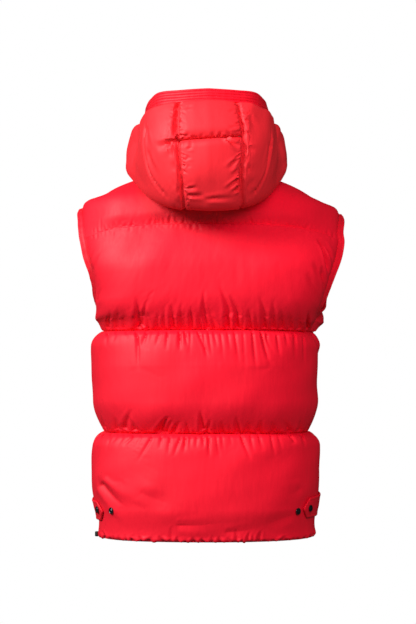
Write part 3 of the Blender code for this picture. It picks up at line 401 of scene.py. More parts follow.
class Cloth:
    """One padded piece as a grid: rows up the cloth, columns round the body."""

    def __init__(self, name, shell, size, zero):
        self.name = name
        nr, nc = size
        self.nr, self.nc = nr, nc
        a, r = np.meshgrid(np.linspace(0, 1, nc), np.linspace(0, 1, nr))
        self.a, self.r = a, r
        self.outer, self.inner_full, self.seam_normal, self.seam = shell(a, r)
        self.inner = self.inner_full[::2, ::2]
        step = norm(np.diff(self.seam, axis=1))
        s = np.concatenate([np.zeros((nr, 1)), np.cumsum(step, 1)], 1)
        k = int(round(zero * (nc - 1)))
        self.S = s - s[:, k:k + 1]
        step = norm(np.diff(self.outer, axis=0))
        self.T = np.concatenate([np.zeros((1, nc)), np.cumsum(step, 0)], 0)
        self.height = self.T[-1:]
        du = np.gradient(self.outer, axis=1)
        dv = np.gradient(self.outer, axis=0)
        n = unit(np.cross(dv, du))
        for _ in range(2):
            n = unit(n + 0.5 * (np.roll(n, 1, 0) + np.roll(n, -1, 0)) * (self.r[..., None] > 0.03) * (self.r[..., None] < 0.97))
        self.N = n
        self.D = np.zeros((nr, nc))
        self.moved = None
        self.seen = np.ones((nr, nc), bool)
        d_low, d_high = self.T, self.height - self.T
        arc = np.abs(self.S - self.S[:, :1]), np.abs(self.S[:, -1:] - self.S)
        self.edge = smooth(d_low / 2.6) * smooth(d_high / 2.6) * smooth(arc[0] / 5.0) * smooth(arc[1] / 5.0)
        self.ends = smooth(arc[0] / 5.0) * smooth(arc[1] / 5.0)

    def at(self, x, z):
        """Place on the cloth of a point named by its x and z as seen square on."""
        ok = (self.N[..., 1] > 0.10) & self.seen
        d = (self.outer[..., 0] - x) ** 2 + (self.outer[..., 2] - z) ** 2 + np.where(ok, 0, 1e6)
        i, j = np.unravel_index(np.argmin(d), d.shape)
        i, j = min(max(i, 1), self.nr - 2), min(max(j, 1), self.nc - 2)
        du = 0.5 * (self.outer[i, j + 1] - self.outer[i, j - 1])
        dv = 0.5 * (self.outer[i + 1, j] - self.outer[i - 1, j])
        gap = np.array([x, 0.0, z]) - self.outer[i, j]
        det = du[0] * dv[2] - du[2] * dv[0]
        if abs(det) < 1e-6:
            return self.S[i, j], self.T[i, j]
        u = np.clip((gap[0] * dv[2] - gap[2] * dv[0]) / det, -1, 1)
        v = np.clip((du[0] * gap[2] - du[2] * gap[0]) / det, -1, 1)
        s = self.S[i, j] + 0.5 * (u * (self.S[i, j + 1] - self.S[i, j - 1]) + v * (self.S[i + 1, j] - self.S[i - 1, j]))
        t = self.T[i, j] + 0.5 * (u * (self.T[i, j + 1] - self.T[i, j - 1]) + v * (self.T[i + 1, j] - self.T[i - 1, j]))
        return s, t

    def stroke(self, points, width, depth, ridge=0.45, root=5.0, tip=1.0, square=False, taper=-0.6):
        """A soft trough along a line of (s, t) points: ridges stand at both sides."""
        p = np.asarray(points, float)
        if len(p) == 3:                        # bent line through a middle point
            k = np.linspace(0, 1, 13)[:, None]
            c = 2 * p[1] - 0.5 * (p[0] + p[2])
            p = (1 - k) ** 2 * p[0] + 2 * k * (1 - k) * c + k * k * p[2]
        reach = 4.0 * width
        lo, hi = p.min(0) - reach, p.max(0) + reach
        box = (self.S >= lo[0]) & (self.S <= hi[0]) & (self.T >= lo[1]) & (self.T <= hi[1])
        if not box.any():
            return
        s, t = self.S[box], self.T[box]
        best = np.full(s.shape, 1e9)
        where = np.zeros(s.shape)
        seg = np.diff(p, axis=0)
        ln = np.maximum(np.hypot(seg[:, 0], seg[:, 1]), 1e-6)
        total = ln.sum()
        run = 0.0
        for (q, v, l) in zip(p, seg, ln):
            ds, dt = s - q[0], t - q[1]
            u = np.clip((ds * v[0] + dt * v[1]) / (l * l), 0, 1)
            d = np.hypot(ds - u * v[0], dt - u * v[1])
            near = d < best
            best = np.where(near, d, best)
            where = np.where(near, run + u * l, where)
            run += l
        k = where / total
        if square:
            strength = np.minimum(1, where / root) * np.minimum(1, (total - where) / root)
        else:
            strength = np.minimum(1.0, where / root + 0.15) * np.cos(np.clip(k, 0, 1) * math.pi / 2) ** tip
        wide = width * (1.05 - taper * (k - 0.5))
        shape = -np.exp(-(best / wide) ** 1.35) + ridge * np.exp(-((best - 1.9 * wide) / wide) ** 2)
        self.D[box] += 1.35 * depth * strength * shape

    def gathers(self, seed, where, spacing, length, depth, width=3.0, slant=0.12, long_share=0.12,
                span=(0.03, 0.97), ridge=0.45):
        """Uneven gathers along the lower ('low') or upper ('high') sewn edge."""
        rng = np.random.default_rng(seed)
        row = 0 if where == "low" else -1
        s0, s1 = self.S[row, 0], self.S[row, -1]
        lo, hi = s0 + (s1 - s0) * span[0], s0 + (s1 - s0) * span[1]
        s = lo + rng.uniform(0, spacing)
        while s < hi:
            reach = length * rng.uniform(0.45, 1.3)
            if rng.random() < long_share:
                reach *= rng.uniform(1.5, 2.2)
            lean = rng.normal(0, slant) * reach
            bend = rng.normal(0, 0.07) * reach
            j = int(np.argmin(np.abs(self.S[row] - s)))
            top = self.height[0, j]
            t0, t1 = (0.0, reach) if where == "low" else (top, top - reach)
            tm = 0.5 * (t0 + t1)
            self.stroke([(s, t0), (s + lean * 0.5 + bend, tm), (s + lean, t1)],
                        width * rng.uniform(0.8, 1.25), depth * rng.uniform(0.45, 1.35), ridge,
                        root=2.0 if where == "low" else 5.0, taper=0.8 if where == "low" else -0.6)
            s += spacing * rng.uniform(0.5, 1.7)

    def side_gathers(self, seed, first, spacing, length, depth, width=2.2, span=(0.05, 0.95), slant=0.25):
        """Short puckers square to an upright seam at the first or last column."""
        rng = np.random.default_rng(seed)
        col = 0 if first else -1
        tall = self.T[-1, col]
        t, stop = tall * span[0] + rng.uniform(0, spacing), tall * span[1]
        sign = 1.0 if (self.S[0, -1] > self.S[0, 0]) == first else -1.0
        while t < stop:
            row = int(np.argmin(np.abs(self.T[:, col] - t)))
            s0 = self.S[row, col] + sign * (STRIP + 0.6)
            reach = length * rng.uniform(0.4, 1.5)
            self.stroke([(s0, t), (s0 + sign * reach * 0.5, t + rng.normal(0, 0.08) * reach),
                         (s0 + sign * reach, t + rng.normal(0, slant) * reach)],
                        width * rng.uniform(0.7, 1.3), depth * rng.uniform(0.4, 1.4), 0.35, root=1.5, taper=0.7)
            t += spacing * rng.uniform(0.5, 1.6)

    def line(self, points, width, depth, ridge=0.3, root=14.0):
        """A long soft crease of even depth through points named by x and z."""
        path = np.array([self.at(x, z) for x, z in points])
        t = np.arange(len(path))
        fine = np.linspace(0, len(path) - 1, 12 * len(path))
        path = np.stack([spline(t, path[:, k], fine) for k in range(2)], -1)
        self.stroke(path, width, depth, ridge, root=root, square=True, taper=0.0)

    def creases(self, rows, soft_above=None):
        """Creases listed one by one: x, z of the deep end, x, z of the fading end (mm), bend sideways.
        Those that start above soft_above hang from the seam over them and stay shallow."""
        rng = np.random.default_rng(len(rows))
        for x0, z0, x1, z1, bend, width, depth in rows:
            ridge, taper, root = 0.45, -0.6, 5.0
            if soft_above is not None and z0 > soft_above:
                depth, width, ridge = depth * rng.uniform(0.45, 1.1), width * 0.72, 0.10
                reach = rng.uniform(0.8, 1.5)
                z1 = z0 + (z1 - z0) * reach
                x1 = x0 + (x1 - x0) * reach + rng.normal(0, 3.0)
            elif z1 > z0 and abs(x1 - x0) < 40 and self.name.startswith("back"):
                taper, root, ridge = 0.9, 1.5, 0.26   # gathers that point upwards from the seam
                if abs(x0) > 138 and depth < 6:
                    depth *= 0.65
            k = np.linspace(0, 1, 7)
            path = np.array([self.at(x0 + (x1 - x0) * q, z0 + (z1 - z0) * q) for q in k])
            v = path[-1] - path[0]
            side = np.array([v[1], -v[0]]) / max(np.hypot(*v), 1e-6)
            path = path + side * bend * (4 * k * (1 - k))[:, None]
            self.stroke(path, width, depth, ridge, root=root, taper=taper)

    def shaped(self):
        out = self.outer + self.N * (self.D * self.edge)[..., None]
        return out + self.moved if self.moved is not None else out


def body_cloth(name, side):
    spec = SPECS[name]
    part, low, high = spec["part"], spec["low"], spec["high"]
    lo, hi = low, high
    if low != 0.0:
        q = torso_point(np.array([30.0, 30.0]), np.array([low - 0.01, low + 0.01]))
        lo = low + 0.5 * GAP * 0.02 / norm(q[1] - q[0])
    if high != 4.0:
        q = torso_point(np.array([30.0, 30.0]), np.array([high - 0.01, high + 0.01]))
        hi = high - 0.5 * GAP * 0.02 / norm(q[1] - q[0])

    def shell(a, r):
        # rows crowd towards the sewn edges, where the cloth turns fastest
        r = r - 0.085 * np.sin(2 * np.pi * r)
        a = a - (0.022 if part == "back" else 0.05) * np.sin(2 * np.pi * a)
        row = np.clip(lo + (hi - lo) * r, low + 1e-6, high - 1e-6)
        first, last = panel_range(part, side, row)
        arc = norm(torso_point(first + 1.0, row) - torso_point(first, row))
        inset = 0.5 * GAP / arc / (last - first)
        ins0 = 0.0 if (part == "front" and side == "right") else inset
        ins1 = 0.0 if (part == "front" and side == "left") else inset
        a = ins0 + (1 - ins0 - ins1) * a
        return body_shell(spec, side, a, row)
    middle = np.array([(low + high) / 2])
    first, last = [float(v[0]) for v in panel_range(part, side, middle)]
    wide = norm(np.diff(torso_point(np.linspace(first, last, 40), middle[0]), axis=0)).sum()
    tall = float(row_length(np.array([20.0 if part == "back" else 160.0]), low, high, torso_point)[0]) + 34
    step = STEP * (0.80 if part == "back" else 1.15)
    nc = 2 * int(round(wide / step / 2)) + 1
    nr = 2 * int(round(tall / step / 2)) + 1
    label = name if part == "back" else name + "_" + side
    if part == "back":
        zero = -first / (last - first)
    else:
        zero = 1.0 if side == "left" else 0.0
    return Cloth(label, shell, (nr, nc), zero)


STRIP = 2.2                 # half width of the flat stitched strip along each upright hood seam


def hood_shell_dressed(piece, side, a, level, low, high):
    """Hood panel with its fill brought close up to the narrow stitched strips."""
    angle, fill, tall = hood_fill(piece, side, a, level, low, high)
    first, last = hood_range(piece, side, level)
    b = (level - low) / (high - low)
    span = row_length(angle, full(low, angle), full(high, angle), hood_point)
    at_neck = np.max(low) == 0.0
    bottom = ease(b * span / 60.0) if at_neck else 0.15 + 0.85 * rise(b * span / 15.0)
    top = ease(((1 - b) * span - 2.6) / 17.0) if np.max(high) == 1.0 else 0.15 + 0.85 * rise((1 - b) * span / 13.0)
    p = hood_point(angle, level)
    floor = 0.40 + 0.53 * (1.0 - smooth((level - 0.40) / 0.25))

    def shoulder(edge, strip):
        d = norm(p - hood_point(edge, level))
        if strip:
            return floor + (1 - floor) * (0.72 * rise((d - STRIP) / 3.6) + 0.28 * rise((d - STRIP) / 26.0))
        return 0.25 + 0.75 * rise(d / 20.0)
    strip0 = piece == "centre" or (piece == "side" and side == "left")
    strip1 = piece == "centre" or (piece == "side" and side == "right")
    across = shoulder(first, strip0) * shoulder(last, strip1)
    if piece == "collar":
        across = rise(norm(p - hood_point(first, level)) / 22.0) * rise(norm(p - hood_point(last, level)) / 22.0)
    fold = np.exp(-((np.abs(angle) - 44.0) / 9.0) ** 2) * smooth((level - 0.35) / 0.2)
    tall = tall * (1.0 - 0.10 * fold) / (1.0 - 0.45 * fold)
    _, inner, n, p = hood_shell(piece, side, a, level, low, high)
    return p + n * (SEAM_OUT + tall * bottom * top * across)[..., None], inner, n, p


def hood_cloth(label, piece, side, low=0.0, high=1.0):
    def shell(a, r):
        if piece == "centre":
            cut = hood_cut(a)
            lo, hi = (0.0 * a, cut - 0.0016) if label.endswith("lower") else (cut + 0.0016, 0.0 * a + 1.0)
            base_lo, base_hi = (0.0 * a, cut) if label.endswith("lower") else (cut, 0.0 * a + 1.0)
            r = r - 0.09 * np.sin(2 * np.pi * r)
        else:
            lo, hi, base_lo, base_hi = 0.0 * a, 0.0 * a + 1.0, 0.0, 1.0
            # more rows on the outer roll and bag than on the hidden stand
            r = np.clip(r, 0, 1) ** 0.9
            r = r - 0.05 * np.sin(2 * np.pi * r) * smooth((r - 0.5) / 0.2)
        level = lo + (hi - lo) * r
        first, last = hood_range(piece, side, level)
        arc = norm(hood_point(first + 1.0, level) - hood_point(first, level))
        inset = 0.5 * GAP / arc / (last - first)
        ins0 = 0.0 if (piece == "collar" and side == "right") else inset
        ins1 = 0.0 if (piece == "collar" and side == "left") else inset
        a = a - (0.03 if piece == "collar" else 0.11) * np.sin(2 * np.pi * a)
        a = ins0 + (1 - ins0 - ins1) * a
        return hood_shell_dressed(piece, side, a, level, base_lo, base_hi)
    test = np.linspace(0, 1, 60)
    mid = np.full(60, 0.6)
    f, l = hood_range(piece, side, mid)
    wide = norm(np.diff(hood_point(f + (l - f) * test, mid), axis=0)).sum()
    ang = float((f[0] + l[0]) / 2)
    lo_, hi_ = (0.0, 1.0)
    if label.endswith("centre_lower"):
        hi_ = HOOD_SEAM_LEVEL
    if label.endswith("centre_upper"):
        lo_ = HOOD_SEAM_LEVEL
    tall = norm(np.diff(hood_point(np.full(80, ang), np.linspace(lo_, hi_, 80)), axis=0)).sum() + 18
    step = STEP if piece == "collar" else 0.8 * STEP
    nc = 2 * int(round(wide / step / 2)) + 1
    nr = 2 * int(round(tall / step / 2)) + 1
    cloth = Cloth(label, shell, (nr, nc), 0.5 if piece == "centre" else (0.0 if side == "left" else 1.0))
    cloth.seen = (cloth.outer[..., 1] > 62.0) & (norm(cloth.outer[..., :2]) > 112.0) | (piece == "collar")
    arc = np.abs(cloth.S - cloth.S[:, :1]), np.abs(cloth.S[:, -1:] - cloth.S)
    cloth.edge = smooth(cloth.T / 2.6) * smooth((cloth.height - cloth.T) / 2.6) * smooth(arc[0] / 2.0) * smooth(arc[1] / 2.0)
    return cloth


def wall(name, outer, inner):
    """Closed wall from a shell grid and a lining grid of half as many points each way."""
    nr, nc = outer.shape[:2]
    mr, mc = inner.shape[:2]
    o = np.arange(nr * nc).reshape(nr, nc)
    i = np.arange(mr * mc).reshape(mr, mc) + nr * nc
    faces = []
    quads = np.stack([o[:-1, :-1], o[:-1, 1:], o[1:, 1:], o[1:, :-1]], -1).reshape(-1, 4)
    faces += [tuple(reversed(q)) for q in quads.tolist()]
    quads = np.stack([i[:-1, :-1], i[:-1, 1:], i[1:, 1:], i[1:, :-1]], -1).reshape(-1, 4)
    faces += [tuple(q) for q in quads.tolist()]

    def strip(os_, is_, flip):
        for k in range(len(is_) - 1):
            a, b, c = os_[2 * k], os_[2 * k + 1], os_[2 * k + 2]
            d, e = is_[k], is_[k + 1]
            for f in ((a, b, d), (b, e, d), (b, c, e)):
                faces.append(f if flip else tuple(reversed(f)))
    strip(o[0].tolist(), i[0].tolist(), True)
    strip(o[-1].tolist(), i[-1].tolist(), False)
    strip(o[:, 0].tolist(), i[:, 0].tolist(), False)
    strip(o[:, -1].tolist(), i[:, -1].tolist(), True)
    mesh = bpy.data.meshes.new(name)
    pts = np.concatenate([outer.reshape(-1, 3), inner.reshape(-1, 3)]) * MM
    mesh.from_pydata(pts.tolist(), [], faces)
    mesh.update()
    return mesh


def add_object(name, mesh, material=None, sharp=55):
    obj = bpy.data.objects.new(name, mesh)
    bpy.context.scene.collection.objects.link(obj)
    bm = bmesh.new()
    bm.from_mesh(mesh)
    bmesh.ops.recalc_face_normals(bm, faces=bm.faces)
    bm.to_mesh(mesh)
    bm.free()
    mesh.shade_smooth()
    mesh.set_sharp_from_angle(angle=math.radians(sharp))
    if material:
        mesh.materials.append(material)
    return obj


# =====================================================================
# Cloth simulation: every padded shell is a flat cut sewn to a shorter seam,
# blown out from inside; the fabric too long for its seam buckles into gathers.
# =====================================================================
SIM_STEP, SIM_FRAMES, SIM_PRESSURE, SIM_CAP = 3.4, 16, 3.0, 7.0


def resample(grid, rows, columns):
    """Smooth (Catmull-Rom) resampling of a grid to another size."""
    def along(g, n):
        m = g.shape[0]
        t = np.linspace(0, m - 1, n)
        i = np.clip(np.floor(t).astype(int), 0, m - 2)
        u = (t - i).reshape((-1,) + (1,) * (g.ndim - 1))
        a, b, c, d = g[np.maximum(i - 1, 0)], g[i], g[i + 1], g[np.minimum(i + 2, m - 1)]
        return 0.5 * (2 * b + (c - a) * u + (2 * a - 5 * b + 4 * c - d) * u ** 2
                      + (3 * b - a - 3 * c + d) * u ** 3)
    return np.swapaxes(along(np.swapaxes(along(grid, rows), 0, 1), columns), 0, 1)


def simulate(cloths, ease_across, ease_up):
    """Runs every shell at once; leaves the movement of each in cloth.moved (mm)."""
    verts, rest, faces, pins, spans = [], [], [], [], []
    base = 0
    for c in cloths:
        rows, cols = int(c.height.mean() / SIM_STEP) + 1, int(abs(c.S[0, -1] - c.S[0, 0]) / SIM_STEP) + 1
        start = resample(c.shaped(), rows, cols)
        smooth_start = resample(c.outer, rows, cols)
        step = norm(np.diff(smooth_start, axis=1))
        up = norm(np.diff(smooth_start, axis=0))
        # each stretch across is cut as long as the fullest row asks; the rows as they are
        longest = np.maximum(step, step.max(0) * (1 + ease_across))
        x = np.concatenate([np.zeros((rows, 1)), np.cumsum(longest, 1)], 1)
        x -= x[:, cols // 2:cols // 2 + 1]
        y = np.concatenate([np.zeros((1, cols)), np.cumsum(up * (1 + ease_up), 0)], 0)
        rest.append(np.stack([x, y, 0 * x], -1).reshape(-1, 3))
        verts.append(start.reshape(-1, 3))
        o = np.arange(rows * cols).reshape(rows, cols) + base
        faces += np.stack([o[:-1, :-1], o[1:, :-1], o[1:, 1:], o[:-1, 1:]], -1).reshape(-1, 4).tolist()
        pins += o[0].tolist() + o[-1].tolist() + o[1:-1, 0].tolist() + o[1:-1, -1].tolist()
        spans.append((c, base, rows, cols, start))
        base += rows * cols
    mesh = bpy.data.meshes.new("cloth_run")
    mesh.from_pydata((np.concatenate(verts) * MM).tolist(), [], faces)
    mesh.update()
    obj = bpy.data.objects.new("cloth_run", mesh)
    bpy.context.scene.collection.objects.link(obj)
    group = obj.vertex_groups.new(name="sewn")
    group.add(pins, 1.0, "REPLACE")
    obj.shape_key_add(name="Basis")
    key = obj.shape_key_add(name="cut")
    key.data.foreach_set("co", (np.concatenate(rest) * MM).ravel())
    key.value = 0.0
    mod = obj.modifiers.new("run", "CLOTH")
    s = mod.settings
    s.quality = 5
    s.mass = 0.3
    s.tension_stiffness = s.compression_stiffness = 15.0
    s.shear_stiffness = 5.0
    s.bending_stiffness = 0.05
    s.tension_damping = s.compression_damping = s.shear_damping = 5.0
    s.bending_damping = 0.5
    s.air_damping = 1.0
    s.vertex_group_mass = "sewn"
    s.use_pressure = True
    s.uniform_pressure_force = SIM_PRESSURE
    s.rest_shape_key = key
    s.effector_weights.gravity = 0.0
    mod.collision_settings.use_collision = False
    mod.point_cache.frame_start, mod.point_cache.frame_end = 1, SIM_FRAMES
    scene = bpy.context.scene
    for f in range(1, SIM_FRAMES + 1):
        scene.frame_set(f)
    done = obj.evaluated_get(bpy.context.evaluated_depsgraph_get())
    out = np.empty(len(done.data.vertices) * 3)
    done.data.vertices.foreach_get("co", out)
    out = out.reshape(-1, 3) / MM
    bpy.data.objects.remove(obj, do_unlink=True)
    bpy.data.meshes.remove(mesh)
    scene.frame_set(1)
    for c, at, rows, cols, start in spans:
        d = out[at:at + rows * cols].reshape(rows, cols, 3) - start
        far = norm(d)
        d *= (np.tanh(far / SIM_CAP) * SIM_CAP / np.maximum(far, 1e-9))[..., None]
        # the run's buckles are even all along a seam: let them come and go
        share = np.clip(0.5 + 0.3 * ripple(c.S, c.T * 0.3, waves(at + 5, 6, 60.0, 160.0)), 0.15, 0.8)
        c.moved = resample(d, c.nr, c.nc) * share[..., None]

UPPER_CREASES = (
    (   176,  -277,    171,  -242,   0.0, 3.5, 3.5),
    (   159,  -277,    154,  -232,   1.7, 4.0, 3.0),
    (   147,  -277,    151,  -237,  -1.7, 4.0, 2.5),
    (   121,  -277,    125,  -219,  -0.9, 3.8, 6.0),
    (   114,  -273,    106,  -228,   1.7, 3.2, 4.5),
    (   104,  -277,    107,  -247,   0.0, 3.0, 3.0),
    (    88,  -277,     86,  -245,   0.0, 3.0, 2.2),
    (    76,  -277,     77,  -238,   0.0, 3.2, 2.4),
    (    60,  -277,     65,  -232,  -0.9, 3.4, 3.8),
    (    48,  -277,     47,  -233,   0.0, 3.0, 3.2),
    (    39,  -277,     42,  -240,   0.0, 3.0, 2.4),
    (    28,  -277,     30,  -237,   0.0, 3.0, 3.2),
    (    12,  -277,     17,  -247,   0.0, 3.0, 2.6),
    (     0,  -277,      7,  -207,   2.6, 3.6, 4.2),
    (   -12,  -277,      3,  -225,   0.0, 3.2, 3.0),
    (   -35,  -277,    -20,  -204,  -5.2, 3.6, 5.6),
    (   -51,  -277,    -36,  -218,  -4.3, 3.6, 5.6),
    (   -61,  -277,    -62,  -245,   0.0, 3.0, 2.4),
    (   -74,  -277,    -70,  -240,   0.0, 3.2, 3.2),
    (   -85,  -277,    -82,  -249,   0.0, 3.0, 2.2),
    (   -98,  -277,    -89,  -219,  -2.6, 3.5, 4.0),
    (  -113,  -277,   -113,  -228,   0.0, 3.5, 3.2),
    (  -128,  -277,   -127,  -240,   0.0, 3.2, 2.8),
    (  -144,  -277,   -140,  -245,   0.0, 3.2, 2.8),
    (  -159,  -277,   -158,  -233,   0.0, 3.5, 3.2),
    (   202,  -176,    185,  -138,   3.0, 3.4, 2.6),
    (   206,  -160,    201,  -136,   1.5, 3.0, 1.8),
    (   196,  -228,    184,  -204,   2.0, 3.6, 2.0),
    (  -175,  -278,   -176,  -245,   0.0, 2.6, 6.5),
)
MIDDLE_CREASES = (
    (   177,  -282,    181,  -315,   0.0, 3.6, 3.4),
    (   159,  -280,    163,  -297,   0.0, 3.4, 2.4),
    (   142,  -280,    144,  -296,   0.0, 3.0, 1.8),
    (   124,  -280,    122,  -329,   0.0, 3.4, 5.2),
    (   106,  -280,    119,  -310,   0.0, 3.6, 5.2),
    (    96,  -280,     99,  -299,   0.0, 3.0, 2.2),
    (    83,  -280,     86,  -304,   0.0, 3.0, 2.2),
    (    70,  -280,     71,  -308,   0.0, 3.0, 2.6),
    (    49,  -280,     45,  -323,   0.0, 3.4, 4.2),
    (    40,  -280,     42,  -311,   0.0, 3.0, 4.0),
    (    30,  -280,     34,  -316,   0.0, 3.0, 2.6),
    (    18,  -280,      5,  -320,   0.0, 3.4, 3.6),
    (     8,  -284,      2,  -325,   0.0, 3.0, 2.6),
    (    -1,  -280,     -4,  -323,   0.0, 3.0, 2.6),
    (   -10,  -280,    -12,  -313,   0.0, 3.0, 2.2),
    (   -22,  -282,    -28,  -327,   0.0, 3.2, 3.2),
    (   -34,  -280,    -37,  -323,   0.0, 3.0, 2.6),
    (   -46,  -280,    -54,  -332,   0.0, 3.4, 3.2),
    (   -61,  -282,    -66,  -336,   0.0, 3.2, 3.0),
    (   -77,  -280,    -83,  -339,   0.0, 3.4, 3.2),
    (   -92,  -280,   -107,  -346,   0.0, 3.4, 3.6),
    (  -103,  -282,   -114,  -311,  -3.5, 3.2, 5.0),
    (  -120,  -285,   -126,  -318,   0.0, 3.2, 2.6),
    (  -135,  -284,   -139,  -313,   0.0, 3.2, 2.4),
    (  -151,  -284,   -155,  -320,   0.0, 3.4, 2.6),
    (  -168,  -290,   -171,  -330,   0.0, 3.6, 2.6),
    (   183,  -453,    190,  -427,   0.0, 4.0, 3.4),
    (   158,  -455,    168,  -429,   0.0, 5.0, 3.4),
    (   145,  -453,    133,  -416,   1.7, 4.0, 5.4),
    (   127,  -455,    140,  -429,   0.0, 4.0, 3.0),
    (    84,  -459,     68,  -427,   1.7, 4.0, 6.0),
    (    73,  -459,     64,  -434,   0.0, 3.4, 3.6),
    (    62,  -459,     49,  -436,   0.0, 3.6, 2.8),
    (    35,  -459,     38,  -436,   0.0, 3.6, 2.0),
    (     8,  -452,     14,  -417,   0.0, 3.6, 4.4),
    (     3,  -459,     -5,  -431,   0.0, 3.4, 2.8),
    (   -26,  -459,    -23,  -434,   0.0, 3.6, 2.2),
    (   -52,  -459,    -49,  -427,   0.0, 3.8, 3.6),
    (   -68,  -459,    -71,  -436,   0.0, 3.6, 2.4),
    (   -88,  -459,    -94,  -433,   0.0, 3.6, 2.8),
    (  -114,  -459,   -111,  -436,   0.0, 3.6, 2.4),
    (  -143,  -459,   -133,  -434,   0.0, 4.0, 3.6),
    (  -161,  -457,   -165,  -431,   0.0, 4.0, 3.0),
)
LOWER_CREASES = (
    (   183,  -459,    191,  -478,   0.0, 3.6, 3.6),
    (   169,  -459,    177,  -485,   0.0, 3.4, 2.8),
    (   154,  -459,    173,  -485,   0.0, 3.6, 3.0),
    (   144,  -459,    156,  -481,   0.0, 3.4, 2.6),
    (   128,  -460,    149,  -483,   0.0, 3.6, 4.2),
    (   114,  -461,    130,  -485,   0.0, 3.2, 2.6),
    (    96,  -462,    118,  -498,   0.0, 3.6, 5.0),
    (    81,  -462,     87,  -481,   0.0, 3.2, 3.0),
    (    66,  -462,     71,  -485,   0.0, 3.2, 2.4),
    (    47,  -462,     56,  -491,   0.0, 3.4, 4.8),
    (    39,  -462,     43,  -485,   0.0, 3.2, 3.6),
    (    30,  -462,     32,  -483,   0.0, 3.2, 3.0),
    (    19,  -462,     17,  -479,   0.0, 3.2, 2.2),
    (     9,  -462,      7,  -483,   0.0, 3.2, 3.0),
    (    -1,  -462,     -5,  -507,   0.0, 3.6, 4.8),
    (   -14,  -462,    -17,  -490,   0.0, 3.2, 3.2),
    (   -24,  -462,    -25,  -486,   0.0, 3.2, 2.6),
    (   -38,  -462,    -42,  -479,   0.0, 3.2, 2.0),
    (   -57,  -460,    -70,  -498,   0.0, 3.6, 4.8),
    (   -74,  -460,    -76,  -483,   0.0, 3.2, 2.8),
    (   -88,  -460,    -94,  -481,   0.0, 3.2, 2.4),
    (  -109,  -460,   -114,  -495,   0.0, 3.4, 3.2),
    (  -122,  -460,   -128,  -485,   0.0, 3.2, 2.6),
    (  -140,  -460,   -154,  -479,   3.5, 3.8, 5.0),
    (  -165,  -460,   -170,  -483,   0.0, 3.6, 3.0),
    (   190,  -548,    136,  -590,  -6.0, 8.5, 4.6),
    (    55,  -618,    -49,  -608,  -3.5, 7.0, 1.1),
    (   -29,  -630,    -94,  -621,  -1.7, 6.0, 0.8),
    (  -166,  -556,   -135,  -571,   0.0, 8.0, 1.2),
    (  -150,  -604,    -90,  -622,  -1.7, 8.0, 0.9),
    (   120,  -560,     40,  -585,  -3.0, 9.0, 0.9),
)
HOOD_LEFT_CREASES = (
    (    45,    63,     61,    72,   0.0, 3.0, 3.2),
    (    46,    53,     58,    64,   0.0, 3.0, 2.6),
    (    47,    82,     57,    89,   0.0, 2.6, 2.4),
    (    48,    74,     59,    80,   0.0, 2.4, 2.0),
    (    51,    40,     86,    30,  -0.8, 3.4, 6.5),
    (    51,    42,     76,    41,   0.0, 2.4, 4.0),
    (    47,   -11,     56,    -8,   0.0, 2.4, 1.8),
    (    47,   -42,     66,   -35,   0.0, 2.2, 2.4),
    (    46,   -38,     70,   -20,   1.7, 2.2, 1.6),
    (    47,   -26,     56,   -21,   0.0, 2.4, 1.6),
    (    46,   102,     61,    99,   0.0, 3.0, 2.0),
    (   101,    26,     84,   -18,  -5.1, 5.0, 2.0),
    (   105,    69,    100,    33,  -1.7, 5.0, 2.0),
)
HOOD_RIGHT_CREASES = (
    (   -57,    27,    -80,    24,   2.5, 2.6, 5.0),
    (   -54,    38,    -71,    34,   0.0, 3.0, 3.0),
    (   -60,   -10,    -80,    -5,   1.7, 2.4, 3.6),
    (   -59,     9,    -71,    11,   0.0, 2.6, 2.0),
    (   -51,    67,    -64,    70,   0.0, 3.0, 2.2),
    (   -49,    85,    -61,    91,   0.0, 2.6, 2.0),
    (   -64,   -36,    -81,   -24,   0.0, 3.0, 2.4),
    (   -66,   -51,    -84,   -38,   0.0, 3.0, 2.4),
    (  -106,    43,   -100,    -1,   3.4, 5.0, 2.0),
    (   -71,    84,    -81,    63,   0.0, 4.0, 1.8),
)
HOOD_UPPER_CREASES = (
    (    34,    42,     20,    49,   0.0, 2.6, 2.0),
    (    40,    45,     30,    55,   0.0, 2.6, 2.0),
    (    -8,    47,    -10,    58,   0.0, 2.4, 1.8),
    (   -20,    48,    -24,    58,   0.0, 2.4, 1.6),
    (   -37,    47,    -32,    60,   0.0, 2.6, 2.2),
    (   -47,    63,    -35,    65,   0.0, 2.6, 1.8),
    (   -46,    94,    -34,    91,   0.0, 2.6, 1.6),
    (    37,    97,     25,   101,   0.0, 2.6, 1.6),
    (    12,    45,      8,    55,   0.0, 2.4, 1.4),
)
HOOD_LOWER_CREASES = (
    (   -28,    47,    -54,    30,  -0.8, 2.6, 6.5),
    (    35,   -40,     17,   -37,   0.0, 2.6, 2.6),
    (    37,   -51,      7,   -51,  -0.8, 3.0, 3.2),
    (   -52,   -22,    -32,   -42,  -0.8, 2.4, 5.5),
    (   -54,   -36,    -37,   -48,   0.0, 2.8, 3.4),
    (   -49,     9,    -37,    -8,  -1.7, 3.2, 3.0),
    (    35,    26,     27,    30,   0.0, 2.6, 2.0),
    (    37,     9,     30,    14,   0.0, 2.4, 1.8),
    (    35,    -4,     30,    -1,   0.0, 2.2, 1.4),
    (   -51,    -6,    -42,   -18,   0.0, 2.8, 2.4),
    (     3,   -58,    -54,   -55,   1.7, 4.0, 2.2),
)
